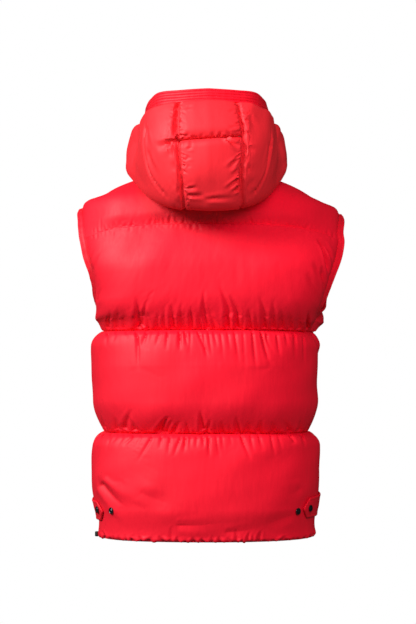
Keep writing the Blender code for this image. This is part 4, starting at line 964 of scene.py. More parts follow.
# Longer creases: width, depth, points named by x and z (mm)
LONG_CREASES = {
    "back_upper": (
        (3.0, 5.5, ((-190, -119), (-200.5, -133), (-206, -150), (-209, -166), (-210.5, -179))),
        (3.2, 3.6, ((-197, -120), (-211, -140), (-218, -156))),
        (3.0, 3.6, ((-198, -166), (-200.5, -183), (-203.5, -200), (-204.5, -212))),
        (4.5, 2.0, ((-182, -160), (-195, -183), (-200, -194))),
        (4.5, 1.4, ((-172, -178), (-186, -212), (-194, -236))),
    ),
    "hood_side_left": ((2.4, 3.4, ((108, 78), (108, 31), (101, -8), (82, -38), (66, -52))),),
    "hood_side_right": ((2.4, 3.4, ((-108, 70), (-107, 31), (-99, -8), (-84, -38), (-68, -54))),),
}
YOKE_CREASES = (
    (  -140,  -105,   -141,   -90,   0.0, 2.2, 1.8),
    (  -147,  -106,   -147,   -94,   0.0, 2.0, 1.4),
    (  -154,  -107,   -155,   -89,   0.0, 2.2, 2.4),
    (  -160,  -108,   -160,   -92,   0.0, 2.0, 2.0),
    (  -165,  -109,   -166,   -94,   0.0, 2.0, 1.6),
    (  -171,  -111,   -172,   -92,   0.0, 2.2, 2.0),
    (  -178,  -113,   -178,   -99,   0.0, 2.2, 1.4),
    (  -188,  -115,   -191,   -97,   0.0, 2.6, 2.0),
    (  -198,  -117,   -203,   -100,   0.0, 2.6, 1.6),
    (   150,  -112,    149,   -97,   0.0, 2.4, 0.9),
    (   132,  -106,    133,   -92,   0.0, 2.4, 0.7),
)


# =====================================================================
# Materials
# =====================================================================
def nodes_of(name):
    m = bpy.data.materials.new(name)
    m.use_nodes = True
    tree = m.node_tree
    return m, tree.nodes, tree.links, tree.nodes["Principled BSDF"]


def nylon(name, base, rough=0.62, crinkle=1.0, sheen=0.0):
    """Downproof nylon: fine upright crinkle, a tight weave, slight unevenness of dye."""
    m, nodes, links, shader = nodes_of(name)
    place = nodes.new("ShaderNodeTexCoord")

    def noise(scale, detail, rough_, size):
        mapping = nodes.new("ShaderNodeMapping")
        mapping.inputs["Scale"].default_value = size
        links.new(place.outputs["Object"], mapping.inputs["Vector"])
        n = nodes.new("ShaderNodeTexNoise")
        n.inputs["Scale"].default_value = scale
        n.inputs["Detail"].default_value = detail
        n.inputs["Roughness"].default_value = rough_
        links.new(mapping.outputs["Vector"], n.inputs["Vector"])
        return n
    dye = noise(9.0, 3.0, 0.55, (1, 1, 1))
    thread = noise(330.0, 4.0, 0.62, (1, 1, 0.14))
    ramp = nodes.new("ShaderNodeMapRange")
    ramp.inputs["From Min"].default_value, ramp.inputs["From Max"].default_value = 0.3, 0.7
    links.new(dye.outputs["Fac"], ramp.inputs["Value"])
    mix = nodes.new("ShaderNodeMix")
    mix.data_type = "RGBA"
    mix.inputs["A"].default_value = [c * 0.93 for c in base] + [1.0]
    mix.inputs["B"].default_value = [min(1.0, c * 1.05) for c in base] + [1.0]
    links.new(ramp.outputs["Result"], mix.inputs["Factor"])
    worn = nodes.new("ShaderNodeMix")
    worn.data_type = "RGBA"
    worn.blend_type = "MULTIPLY"
    worn.inputs["Factor"].default_value = 0.22
    links.new(mix.outputs["Result"], worn.inputs["A"])
    tone = nodes.new("ShaderNodeMapRange")
    tone.inputs["From Min"].default_value, tone.inputs["From Max"].default_value = 0.35, 0.65
    tone.inputs["To Min"].default_value = 0.72
    links.new(thread.outputs["Fac"], tone.inputs["Value"])
    links.new(tone.outputs["Result"], worn.inputs["B"])
    links.new(worn.outputs["Result"], shader.inputs["Base Color"])
    gloss = nodes.new("ShaderNodeMapRange")
    gloss.inputs["To Min"].default_value, gloss.inputs["To Max"].default_value = rough - 0.06, rough + 0.06
    links.new(thread.outputs["Fac"], gloss.inputs["Value"])
    links.new(gloss.outputs["Result"], shader.inputs["Roughness"])
    shader.inputs["Specular IOR Level"].default_value = 0.46
    shader.inputs["Sheen Weight"].default_value = sheen
    shader.inputs["Sheen Roughness"].default_value = 0.45
    shader.inputs["Sheen Tint"].default_value = (1.0, 0.45, 0.45, 1.0)
    # crinkle, then the weave on top of it
    soft = noise(150.0, 4.0, 0.6, (1, 1, 0.20))
    bump = nodes.new("ShaderNodeBump")
    bump.inputs["Strength"].default_value = 0.22 * crinkle
    bump.inputs["Distance"].default_value = 0.0009
    links.new(soft.outputs["Fac"], bump.inputs["Height"])
    fine = nodes.new("ShaderNodeBump")
    fine.inputs["Strength"].default_value = 0.28 * crinkle
    fine.inputs["Distance"].default_value = 0.0004
    links.new(thread.outputs["Fac"], fine.inputs["Height"])
    links.new(bump.outputs["Normal"], fine.inputs["Normal"])
    grid = nodes.new("ShaderNodeTexBrick")
    grid.inputs["Scale"].default_value = 1400.0
    grid.inputs["Mortar Size"].default_value = 0.04
    grid.inputs["Brick Width"].default_value = 0.5
    grid.inputs["Row Height"].default_value = 0.5
    turn = nodes.new("ShaderNodeMapping")
    turn.inputs["Rotation"].default_value = (math.radians(90), 0, 0)
    links.new(place.outputs["Object"], turn.inputs["Vector"])
    links.new(turn.outputs["Vector"], grid.inputs["Vector"])
    weave = nodes.new("ShaderNodeBump")
    weave.inputs["Strength"].default_value = 0.06
    weave.inputs["Distance"].default_value = 0.0001
    links.new(grid.outputs["Fac"], weave.inputs["Height"])
    links.new(fine.outputs["Normal"], weave.inputs["Normal"])
    links.new(weave.outputs["Normal"], shader.inputs["Normal"])
    return m


def plain(name, base, rough, metal=0.0, spec=0.5, speckle=700.0, bump_by=0.12, coat=0.0):
    """Hard trim: moulded or coated surface with faint grain and handling wear."""
    m, nodes, links, shader = nodes_of(name)
    place = nodes.new("ShaderNodeTexCoord")
    n = nodes.new("ShaderNodeTexNoise")
    n.inputs["Scale"].default_value = speckle
    n.inputs["Detail"].default_value = 4.0
    links.new(place.outputs["Object"], n.inputs["Vector"])
    mix = nodes.new("ShaderNodeMix")
    mix.data_type = "RGBA"
    mix.inputs["A"].default_value = [c * 0.8 for c in base] + [1.0]
    mix.inputs["B"].default_value = [min(1.0, c * 1.35 + 0.004) for c in base] + [1.0]
    links.new(n.outputs["Fac"], mix.inputs["Factor"])
    links.new(mix.outputs["Result"], shader.inputs["Base Color"])
    r = nodes.new("ShaderNodeMapRange")
    r.inputs["To Min"].default_value, r.inputs["To Max"].default_value = rough - 0.07, rough + 0.09
    links.new(n.outputs["Fac"], r.inputs["Value"])
    links.new(r.outputs["Result"], shader.inputs["Roughness"])
    shader.inputs["Metallic"].default_value = metal
    shader.inputs["Specular IOR Level"].default_value = spec
    shader.inputs["Coat Weight"].default_value = coat
    b = nodes.new("ShaderNodeBump")
    b.inputs["Strength"].default_value = bump_by
    b.inputs["Distance"].default_value = 0.0001
    links.new(n.outputs["Fac"], b.inputs["Height"])
    links.new(b.outputs["Normal"], shader.inputs["Normal"])
    return m


RED = (0.85, 0.0028, 0.021)
SHELL = nylon("shell_nylon", RED)
HOOD_PAINTED_SHEEN = nylon("hood_shell_nylon", (0.85, 0.017, 0.028))      # paler copy of the shell red for the hood: painted sheen, the brighter light the hood catches from above put into its colour
TRIM = nylon("trim_nylon", (0.80, 0.0025, 0.018), rough=0.62, crinkle=0.6)
TAPE = nylon("zip_tape_weave", (0.48, 0.006, 0.018), rough=0.75, crinkle=0.5, sheen=0.05)
THREAD = nylon("thread", (0.70, 0.008, 0.022), rough=0.6, crinkle=0.3, sheen=0.05)
TEETH = plain("zip_teeth_moulded", (0.022, 0.022, 0.024), 0.38)
METAL = plain("zip_metal_black", (0.035, 0.035, 0.037), 0.30, metal=0.7, speckle=420.0)
SNAP = plain("snap_enamel", (0.010, 0.011, 0.011), 0.26, metal=0.15, spec=0.6, speckle=500.0, coat=0.3)
STOPPER = plain("stopper_plastic", (0.012, 0.026, 0.020), 0.42)

# =====================================================================
# Padded pieces
# =====================================================================
HAND = {
    "back_yoke": YOKE_CREASES, "back_upper": UPPER_CREASES, "back_middle": MIDDLE_CREASES, "back_lower": LOWER_CREASES,
    "hood_side_left": HOOD_LEFT_CREASES, "hood_side_right": HOOD_RIGHT_CREASES,
    "hood_centre_upper": HOOD_UPPER_CREASES, "hood_centre_lower": HOOD_LOWER_CREASES,
}


def dress(c, seed):
    """Gathers and creases of a piece, uneven as in worn cloth."""
    name = c.name
    if name in HAND:
        c.creases(HAND[name], {"back_middle": -296, "back_lower": -466}.get(name))
    if name in ("back_upper", "back_middle", "back_lower", "back_yoke"):
        # fine shirring between the larger folds
        if name == "back_upper":
            c.gathers(seed + 1, "high", 8.0, 16, 0.7, 2.6, 0.1, 0.1, ridge=0.3)
        elif name != "back_yoke":
            c.gathers(seed + 1, "high", 8.5, 13, 0.5, 2.5, 0.1, 0.1, ridge=0.1)
        if name != "back_lower":
            c.gathers(seed + 2, "low", 7.0, 14, 0.9, 2.2, 0.15, 0.15)
    elif name.startswith("front_yoke"):
        c.gathers(seed + 2, "low", 9.0, 20, 1.8, 2.6)
    elif name.startswith("front_"):
        c.gathers(seed + 1, "high", 13.0, 38, 3.2, 3.2)
        c.gathers(seed + 3, "high", 6.5, 13, 0.9, 1.9)
        if not name.startswith("front_lower"):
            c.gathers(seed + 2, "low", 12.0, 34, 3.6, 3.3)
            c.gathers(seed + 4, "low", 6.5, 14, 1.0, 1.9)
    if name.endswith("_lower") and name.startswith("back") or name.startswith("front_lower"):
        c.gathers(seed + 6, "low", 9.5, 14, 2.1, 3.0, 0.25, 0.25)
    if name.startswith("hood_side") or name.startswith("hood_centre"):
        c.gathers(seed + 5, "high", 9.0, 9, 0.7, 2.0, 0.1, 0.1)
        spans = (0.42, 0.97) if not name.endswith("upper") else (0.04, 0.95)
        if name != "hood_side_right":
            c.side_gathers(seed + 7, name == "hood_side_left", 7.0, 10, 2.0, 1.3, spans)
        if name != "hood_side_left":
            c.side_gathers(seed + 8, name != "hood_side_right", 7.0, 10, 2.0, 1.3, spans)
    if name == "hood_centre_upper":
        c.gathers(seed + 9, "low", 5.5, 11, 2.2, 1.6, 0.3, 0.1)
    if name == "hood_centre_lower":
        c.gathers(seed + 9, "high", 9.0, 9, 1.0, 1.8, 0.3, 0.1)
    for width, depth, points in LONG_CREASES.get(name, ()):
        c.line(points, width, depth)
    if name.startswith("collar"):
        c.gathers(seed + 5, "high", 9.0, 16, 1.3, 2.4)
        c.gathers(seed + 6, "low", 9.0, 20, 1.6, 2.6)
    small = waves(seed, 26, 9.0, 26.0, 0.0)
    broad = waves(seed + 50, 12, 45.0, 110.0, 0.7)
    c.D += 0.10 * ripple(c.S, c.T * 0.5, small) + 0.9 * ripple(c.S, c.T, broad)


padded_pieces = []
cloths = []
seed = 11
for spec in PANELS:
    for side in (("back",) if spec[1] == "back" else ("left", "right")):
        cloths.append(body_cloth(spec[0], side))
cloths.append(hood_cloth("hood_centre_lower", "centre", ""))
cloths.append(hood_cloth("hood_centre_upper", "centre", ""))
for side in ("left", "right"):
    cloths.append(hood_cloth("hood_side_" + side, "side", side))
    cloths.append(hood_cloth("collar_" + side, "collar", side))
for c in cloths:
    seed += 10
    dress(c, seed)
simulate(cloths, 0.01, 0.01)
for c in cloths:
    # hood pieces take the paler nylon, whose colour holds painted sheen
    obj = add_object(c.name + "_cloth", wall(c.name + "_cloth", c.shaped(), c.inner),
                     HOOD_PAINTED_SHEEN if c.name.startswith("hood") else SHELL)
    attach(obj, "vest")
    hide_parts(c.name)
    padded_pieces.append(obj)

# =====================================================================
# Hood's edge band, armhole bands, tabs
# =====================================================================
def sweep(name, rings, closed, material, sharp=40):
    """Loft through rings (stations, points, 3) in mm."""
    rings = np.asarray(rings)
    ns, npnt = rings.shape[:2]
    idx = np.arange(ns * npnt).reshape(ns, npnt)
    faces = []
    for k in range(ns if closed else ns - 1):
        a, b = idx[k], idx[(k + 1) % ns]
        for j in range(npnt):
            faces.append((int(a[j]), int(a[(j + 1) % npnt]), int(b[(j + 1) % npnt]), int(b[j])))
    if not closed:
        faces.append(tuple(int(v) for v in idx[0]))
        faces.append(tuple(int(v) for v in idx[-1][::-1]))
    mesh = bpy.data.meshes.new(name)
    mesh.from_pydata((rings.reshape(-1, 3) * MM).tolist(), [], faces)
    mesh.update()
    return add_object(name, mesh, material, sharp)


def stitches(name, lines, length=2.6, gap=1.1, radius=0.28):
    """Thread: one short rounded bar for each stitch along each line of points (mm)."""
    verts, faces = [], []
    for pts, nrm in lines:
        pts, nrm = np.asarray(pts), np.asarray(nrm)
        run = np.concatenate([[0], np.cumsum(norm(np.diff(pts, axis=0)))])
        at = np.arange(0.5, run[-1] - length, length + gap)
        for s in at:
            ends = []
            for q in (s, s + length):
                p = np.array([np.interp(q, run, pts[:, k]) for k in range(3)])
                n = np.array([np.interp(q, run, nrm[:, k]) for k in range(3)])
                ends.append((p, n / max(np.linalg.norm(n), 1e-9)))
            (p0, n0), (p1, n1) = ends
            t = (p1 - p0) / max(np.linalg.norm(p1 - p0), 1e-9)
            b = np.cross(n0, t)
            base = len(verts)
            for u, lift, wide in ((0.0, -0.25, 0.55), (0.28, 0.25, 1.0), (0.72, 0.25, 1.0), (1.0, -0.25, 0.55)):
                p = p0 + (p1 - p0) * u
                for ang in range(5):
                    w = 2 * math.pi * ang / 5
                    verts.append(p + n0 * (lift + radius * wide * math.sin(w)) + b * radius * wide * math.cos(w))
            for k in range(3):
                for j in range(5):
                    a0, a1 = base + 5 * k + j, base + 5 * k + (j + 1) % 5
                    faces.append((a0, a1, a1 + 5, a0 + 5))
            faces.append(tuple(base + j for j in range(4, -1, -1)))
            faces.append(tuple(base + 15 + j for j in range(5)))
    mesh = bpy.data.meshes.new(name)
    mesh.from_pydata((np.array(verts) * MM).tolist(), [], faces)
    mesh.update()
    obj = add_object(name, mesh, THREAD, 60)
    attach(obj, "vest")
    return obj


def band_frame(angle):
    p, n, ta, tr = frame_of(hood_point, angle, full(1.0, angle), 0.0, 1.0)
    back = 0.5 + 0.5 * np.cos(np.radians(angle))
    run = unit(np.array([0.0, 0.0, 0.95]) + tr * 0.30 - n * (0.06 * back)[..., None])
    face = unit(n - run * np.sum(n * run, -1, keepdims=True))
    return p + tr * (GAP + 0.15), tr, run, n, face


def band_points(angle, along, out):
    start, tr, run, n, face = band_frame(angle)
    if along < 2.0:
        return start + tr * along + n * np.asarray(out)[..., None]
    return start + tr * 2.0 + run * (along - 2.0) + face * np.asarray(out)[..., None]


def evenly(angles, points, step):
    run = np.concatenate([[0], np.cumsum(norm(np.diff(points, axis=0)))])
    n = max(8, int(run[-1] / step))
    return np.interp(np.linspace(0, run[-1], n), run, angles), np.linspace(0, run[-1], n)


rim_r = norm(hood_point(np.array([180.0]), np.array([1.0]))[..., :2])[0]
rim_end = 180.0 - math.degrees(math.asin(ZIP_HALF / rim_r))
test = np.linspace(-rim_end, rim_end, 721)
rim_angles, rim_run = evenly(test, hood_point(test, full(1.0, test)), 2.2)
ROWS_OF_STITCH = (4.2, 9.0, 13.8, 18.6)


def band_height(along, run):
    """Outer face: plump between the four stitched rows, dipping at each of them."""
    body = 4.6 * rise(np.clip(along / 4.0, 0, 1) * 0.5 + 0.5) - 1.1 * max(0.0, (along - 19.5) / 3.5) ** 2
    dip = sum(math.exp(-((along - r) / 0.75) ** 2) for r in ROWS_OF_STITCH)
    puck = 0.22 * np.sin(run / 1.9 + 2.0 * np.sin(run / 23.0)) * min(1.0, 0.3 + dip)
    wavy = 0.35 * np.sin(run / 31.0 + 1.3) + 0.25 * np.sin(run / 13.0 + 0.5 * along)
    return body - 0.95 * dip + puck * 0.8 + wavy * min(1.0, along / 6.0)


outer_along = np.concatenate([[0.0, 1.0, 1.99], np.arange(2.4, 22.6, 0.48), [BAND_WIDE - 0.25]])
section = [(-1.7, 2.8), (-1.7, 4.3)] + [(s, "out") for s in outer_along] + [(BAND_WIDE, 1.0), (BAND_WIDE, -0.5)] + \
    [(21.0, "in"), (17.0, "in"), (12.0, "in"), (6.0, "in"), (1.99, -1.4), (0.0, -1.2)]
rings = []
for along, out in section:
    if out == "out":
        value = 4.9 + 0 * rim_run if along == 0.0 else np.maximum(band_height(along, rim_run), 0.4)
    elif out == "in":
        value = -1.9 + 0.2 * np.sin(rim_run / 17.0)
    else:
        value = out + 0 * rim_run
    rings.append(band_points(rim_angles, along, value))
band = sweep("hood_edge_band_cloth", np.stack(rings, 1), False, TRIM, 50)
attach(band, "vest")
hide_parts("hood_edge_band")
lines = []
for r in ROWS_OF_STITCH:
    pts = band_points(rim_angles, r, band_height(r, rim_run) + 0.12)
    lines.append((pts, band_frame(rim_angles)[4]))
stitches("hood_band_stitches", lines)


def arm_loop(side, count=190):
    """Evenly spaced places round the armhole, as angles and rows."""
    sign = 1.0 if side == "left" else -1.0
    t = np.linspace(0, 1, 400)
    rows = ARM_LOW + (ARM_TOP - ARM_LOW) * (0.5 - 0.5 * np.cos(np.pi * t))
    back = sign * edge_angle("back_" + side, np.minimum(rows, ARM_TOP - 1e-9))
    back[-1] = sign * 90.0
    front = sign * edge_angle("front_" + side, np.minimum(rows, ARM_TOP - 1e-9))
    front[-1] = sign * 90.0
    a = np.concatenate([back, front[::-1][1:]])
    r = np.concatenate([rows, rows[::-1][1:]])
    pts = torso_point(a, r)
    run = np.concatenate([[0], np.cumsum(norm(np.diff(pts, axis=0)))])
    q = np.linspace(0, run[-1], count + 1)[:-1]
    return np.interp(q, run, a), np.interp(q, run, r), q, run[-1]


ARM_BAND_WIDE = 14.0


def arm_frame(side):
    sign = 1.0 if side == "left" else -1.0
    a, r, q, total = arm_loop(side)
    p, n, ta, tr = frame_of(torso_point, a, r, 0.0, 4.0)
    middle = p.mean(0)
    along = unit(np.roll(p, -1, 0) - np.roll(p, 1, 0))
    for _ in range(3):
        n = unit(n + 0.5 * (np.roll(n, 1, 0) + np.roll(n, -1, 0)))
        along = unit(along + 0.5 * (np.roll(along, 1, 0) + np.roll(along, -1, 0)))
    into = unit(np.cross(n, along))
    into = np.where(np.sum(into * (middle - p), -1, keepdims=True) < 0, -into, into)
    over = smooth((r - 2.42) / 0.36)[:, None]
    run = unit(into * (0.95 - 0.60 * over) + np.array([sign, 0.0, 0.0]) * (0.20 + 0.70 * over))
    face = unit(n - run * np.sum(n * run, -1, keepdims=True))
    return p, n, into, run, face, q, total


for side in ("left", "right"):
    p, n, into, run, face, q, total = arm_frame(side)
    gather = 0.28 * np.sin(q / 2.6 + 1.4 * np.sin(q / 17.0)) + 0.2 * np.sin(q / 7.0 + (1 if side == "left" else 4))
    rings = []
    section = [(0.0, "s", -1.2), (0.0, "s", 1.9), (1.2, "s", 1.95)]
    section += [(s, "r", None) for s in np.arange(2.2, ARM_BAND_WIDE - 0.3, 0.85)]
    section += [(ARM_BAND_WIDE, "r", 0.9), (ARM_BAND_WIDE, "r", -0.7), (ARM_BAND_WIDE - 1.2, "r", -1.35),
                (7.0, "r", -1.5), (2.2, "r", -1.4)]
    for s, kind, h in section:
        if kind == "s":
            rings.append(p + into * (GAP + 0.1 + s) + n * h)
        else:
            if h is None:
                dip = math.exp(-((s - 9.4) / 0.7) ** 2) + 0.6 * math.exp(-((s - 2.6) / 0.8) ** 2)
                h = 1.9 + 0.75 * math.sin(math.pi * min(1.0, s / 10.5)) - 0.8 * dip + gather * (0.5 + dip)
            rings.append(p + into * (GAP + 2.3) + run * (s - 2.0) + face * (np.asarray(h) + 0 * q)[..., None])
    obj = sweep("armhole_band_%s_cloth" % side, np.stack(rings, 1), True, TRIM, 50)
    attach(obj, "vest")
    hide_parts("armhole_band_" + side)
    h = 1.9 + 0.75 * math.sin(math.pi * 9.4 / 10.5) - 0.8 + gather * 1.5
    line = p + into * (GAP + 2.3) + run * 7.4 + face * (h + 0.12)[..., None]
    stitches("armhole_stitches_" + side, [(np.concatenate([line, line[:1]]), np.concatenate([face, face[:1]]))])


# =====================================================================
# Side tabs and snaps
# =====================================================================
TAB_COLUMNS = ("side", "base_angle", "tip_angle", "row", "base_half", "neck_half", "point")
TABS = (
    ("left",  110.6, 71.2, 0.275, 28.0, 22.5, 15.0),
    ("right", 105.5, 64.4, 0.303, 28.0, 22.5, 15.0),
)
TAB_THICK, TAB_PROUD = 2.6, 1.6
SNAP_COLUMNS = ("name", "angle", "row", "lift")
SNAPS = (
    ("snap_tab_left",    75.2, 0.292, TAB_PROUD + TAB_THICK + 0.4),
    ("snap_body_left",   64.4, 0.296, 0.0),
    ("snap_tab_right",  -69.0, 0.304, TAB_PROUD + TAB_THICK),
    ("snap_body_right", -61.0, 0.277, 0.0),
)
SNAP_PROFILE = (            # radius, height (mm) of the pressed cap
    (0.0, 0.0), (5.75, 0.0), (5.98, 0.25), (5.98, 1.25), (5.8, 1.75), (5.3, 2.12), (4.8, 2.22), (4.35, 2.1),
    (4.05, 1.75), (3.8, 1.48), (3.4, 1.40), (2.95, 1.45), (2.65, 1.62), (2.3, 1.95), (1.7, 2.27), (0.9, 2.45), (0.0, 2.5))


def skirt_point(angle, row, proud):
    spec = SPECS["back_lower"]
    angle = np.asarray(angle, float)
    row = full(row, angle)
    p, n, ta, tr = frame_of(torso_point, angle, row, 0.0, 4.0)
    span = row_length(angle, 0.0, 1.0, torso_point)
    up = hem_up(row * span) * rise((1 - row) * span / spec["round_high"])
    up = up * (0.88 + 0.12 * np.sin(np.pi * row))
    return p + n * (SEAM_OUT + spec["puff"] * up + proud)[..., None], n, ta, tr


TAB_SIZES = {}
for row in TABS:
    t = dict(zip(TAB_COLUMNS, row))
    sign = 1.0 if t["side"] == "left" else -1.0
    ends = skirt_point(np.array([t["base_angle"], t["tip_angle"]]), t["row"], 0.0)[0]
    reach = float(norm(ends[1] - ends[0]))
    neck = 1.0 - t["point"] / reach
    s, h = np.meshgrid(np.linspace(0, 1, 71), np.linspace(-1, 1, 45), indexing="ij")
    s = s + 0.012 * np.sin(2 * np.pi * s)
    h = np.sin(h * np.pi / 2 * 0.94) / math.sin(math.pi / 2 * 0.94)
    k = np.clip((s - neck) / (1 - neck), 0, 1)
    half = np.where(s <= neck, t["base_half"] + (t["neck_half"] - t["base_half"]) * s / neck,
                    t["neck_half"] + (1.5 - t["neck_half"]) * k ** 1.25)
    angle = sign * (t["base_angle"] + (t["tip_angle"] - t["base_angle"]) * s)
    p, n, ta, tr = skirt_point(angle, t["row"] + h * half / 186.0, TAB_PROUD)
    # distance from the cut edge decides the rolled border and the topstitching
    e_side = (1 - np.abs(h)) * half
    e_tip = (1 - s) * reach
    edge = np.minimum(e_side, e_tip * 0.9)
    roll = np.clip(edge / 1.6, 0, 1)
    top = TAB_THICK * (0.45 + 0.55 * np.sqrt(1 - (1 - roll) ** 2))
    top = top - 0.45 * np.exp(-((edge - 5.2) / 0.8) ** 2) + 0.25 * np.exp(-((edge - 2.6) / 1.5) ** 2)
    run = s * reach
    top = top + 0.10 * np.sin(run / 1.7 + 2 * np.sin(run / 9.0)) * np.exp(-((edge - 5.2) / 2.5) ** 2)
    top = top + 0.22 * np.sin(run / 9.0 + h * 2.0 + sign)
    outer = p + n * top[..., None]
    inner = p + n * 0.15
    name = "side_tab_%s_cloth" % t["side"]
    obj = add_object(name, wall(name, outer, inner[::2, ::2]), TRIM, 50)
    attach(obj, "vest")
    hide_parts("side_tab_" + t["side"])
    area = float((norm(np.cross(np.diff(p, axis=0)[:, :-1], np.diff(p, axis=1)[:-1]))).sum())
    TAB_SIZES[t["side"]] = (reach, 2 * t["base_half"], area)
    # thread 5.2 mm inside the edge: along one side, round the point, back along the other
    for_line = []
    for sgn in (-1, 1):
        ss = np.linspace(0.02, 1 - 5.2 / reach / 0.9, 60)
        kk = np.clip((ss - neck) / (1 - neck), 0, 1)
        hf = np.where(ss <= neck, t["base_half"] + (t["neck_half"] - t["base_half"]) * ss / neck,
                      t["neck_half"] + (1.5 - t["neck_half"]) * kk ** 1.25)
        hh = sgn * np.maximum(1 - 5.2 / hf, 0.0)
        an = sign * (t["base_angle"] + (t["tip_angle"] - t["base_angle"]) * ss)
        q, m, _, _ = skirt_point(an, t["row"] + hh * hf / 186.0, TAB_PROUD + TAB_THICK - 0.3)
        for_line.append((q, m))
    stitches("tab_stitches_" + t["side"], for_line)

for row in SNAPS:
    s = dict(zip(SNAP_COLUMNS, row))
    p, n, ta, tr = skirt_point(np.array([s["angle"]]), s["row"], s["lift"] + 0.5)
    turn = Vector(n[0]).to_track_quat("Z", "Y").to_matrix()
    bm = bmesh.new()
    rings = []
    for r, z in SNAP_PROFILE:
        if r == 0.0:
            rings.append([bm.verts.new(turn @ Vector((0, 0, z)) * MM + Vector(p[0]) * MM)])
        else:
            rings.append([bm.verts.new(turn @ Vector((r * math.cos(2 * math.pi * j / 44),
                          r * math.sin(2 * math.pi * j / 44), z)) * MM + Vector(p[0]) * MM) for j in range(44)])
    for a, b in zip(rings, rings[1:]):
        for j in range(44):
            if len(a) == 1:
                bm.faces.new((a[0], b[j], b[(j + 1) % 44]))
            elif len(b) == 1:
                bm.faces.new((a[j], a[(j + 1) % 44], b[0]))
            else:
                bm.faces.new((a[j], a[(j + 1) % 44], b[(j + 1) % 44], b[j]))
    mesh = bpy.data.meshes.new(s["name"] + "_cap")
    bm.to_mesh(mesh)
    bm.free()
    obj = add_object(s["name"] + "_cap", mesh, SNAP, 60)
    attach(obj, "vest")
    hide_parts(s["name"])

# =====================================================================
# Front zip: woven tapes, moulded teeth
# =====================================================================
TAPE_INNER, TAPE_OUTER = 3.4, 9.0
TEETH_HALF, TEETH_HIGH = 3.1, 1.3
ZIP_TOP = BAND_WIDE - 1.0


def zip_line():
    rows = 4.0 * np.arange(34) / 34.0
    pts = [torso_point(full(180.0, rows), rows)[:, 1:]]
    levels = 0.06 + 0.94 * np.arange(9) / 9.0
    pts.append(hood_point(full(180.0, levels), levels)[:, 1:])
    start, tr, run, n, face = [v[0] for v in band_frame(np.array([180.0]))]
    pts.append(np.array([(start + tr * 0.5)[1:], (start + tr * 2 + run * ZIP_TOP * 0.5)[1:],
                         (start + tr * 2 + run * ZIP_TOP)[1:]]))
    return np.concatenate(pts)


knots = zip_line()
knot_run = np.concatenate([[0], np.cumsum(norm(np.diff(knots, axis=0)))])
ZIP_LENGTH = float(knot_run[-1])
zip_run = np.linspace(0, ZIP_LENGTH, int(ZIP_LENGTH / 2.4))


def zip_at(q):
    q = np.asarray(q, float)
    yz = np.stack([spline(knot_run, knots[:, k], q) for k in range(2)], -1)
    d = np.stack([spline(knot_run, knots[:, k], q + 0.7) - spline(knot_run, knots[:, k], q - 0.7)
                  for k in range(2)], -1)
    d = d / norm(d)[..., None]
    p = np.stack([np.zeros_like(q), yz[..., 0], yz[..., 1]], -1)
    up = np.stack([np.zeros_like(q), d[..., 0], d[..., 1]], -1)
    out = np.stack([np.zeros_like(q), -d[..., 1], d[..., 0]], -1)
    return p, up, out


across = np.array([1.0, 0.0, 0.0])
for side, sign in (("left", 1.0), ("right", -1.0)):
    p, up, out = zip_at(zip_run)
    section = [(TAPE_INNER, -0.62), (TAPE_INNER, 0.62), (TAPE_INNER + 0.5, 0.7), (4.8, 0.58), (5.2, 0.40), (5.6, 0.58),
               (7.0, 0.62), (8.5, 0.6), (TAPE_OUTER, 0.5), (TAPE_OUTER, -0.6), (6.2, -0.62)]
    rings = [p + across * (sign * x) + out * (h + 0.05 * math.sin(3 * x)) for x, h in section]
    obj = sweep("zip_tape_%s_woven" % side, np.stack(rings, 1), False, TAPE, 50)
    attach(obj, "vest")
    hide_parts("zip_tape_" + side)

verts, faces = [], []
PITCH = 2.3
count = int((ZIP_LENGTH - 3.0) / PITCH)
TOOTH = (       # half outline of a tooth: across from the tape's edge to past the middle, half height
    (3.1, 0.62), (1.7, 0.62), (1.1, 0.42), (0.5, 0.62), (-0.55, 0.66), (-0.95, 0.35))
for k in range(count):
    for sign, lag in ((1.0, 0.0), (-1.0, 0.5)):
        at, up, out = [v[0] for v in zip_at(np.array([1.5 + (k + lag) * PITCH]))]
        base = len(verts)
        prof = [(x, hgt) for x, hgt in TOOTH] + [(x, -hgt) for x, hgt in TOOTH[::-1]]
        for level, shrink in ((-TEETH_HIGH, 0.8), (-0.7, 1.0), (0.75, 1.0), (TEETH_HIGH, 0.78)):
            for x, u in prof:
                xx = 1.3 + (x - 1.3) * (0.5 + 0.5 * shrink)
                verts.append(at + across * sign * xx + up * u * shrink + out * level)
        m = len(prof)
        for lv in range(3):
            for j in range(m):
                a0, a1 = base + lv * m + j, base + lv * m + (j + 1) % m
                faces.append((a0, a1, a1 + m, a0 + m))
        faces.append(tuple(base + j for j in range(m - 1, -1, -1)))
        faces.append(tuple(base + 3 * m + j for j in range(m)))
mesh = bpy.data.meshes.new("zip_teeth_row")
mesh.from_pydata((np.array(verts) * MM).tolist(), [], faces)
mesh.update()
obj = add_object("zip_teeth_row", mesh, TEETH, 40)
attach(obj, "vest")
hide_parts("zip_teeth")

# =====================================================================
# Thread of the quilting seams
# =====================================================================
def seam_line(first, last, row, lift):
    a = np.linspace(first, last, 260)
    p, n, ta, tr = frame_of(torso_point, a, full(row, a), 0.0, 4.0)
    return p + n * lift, n


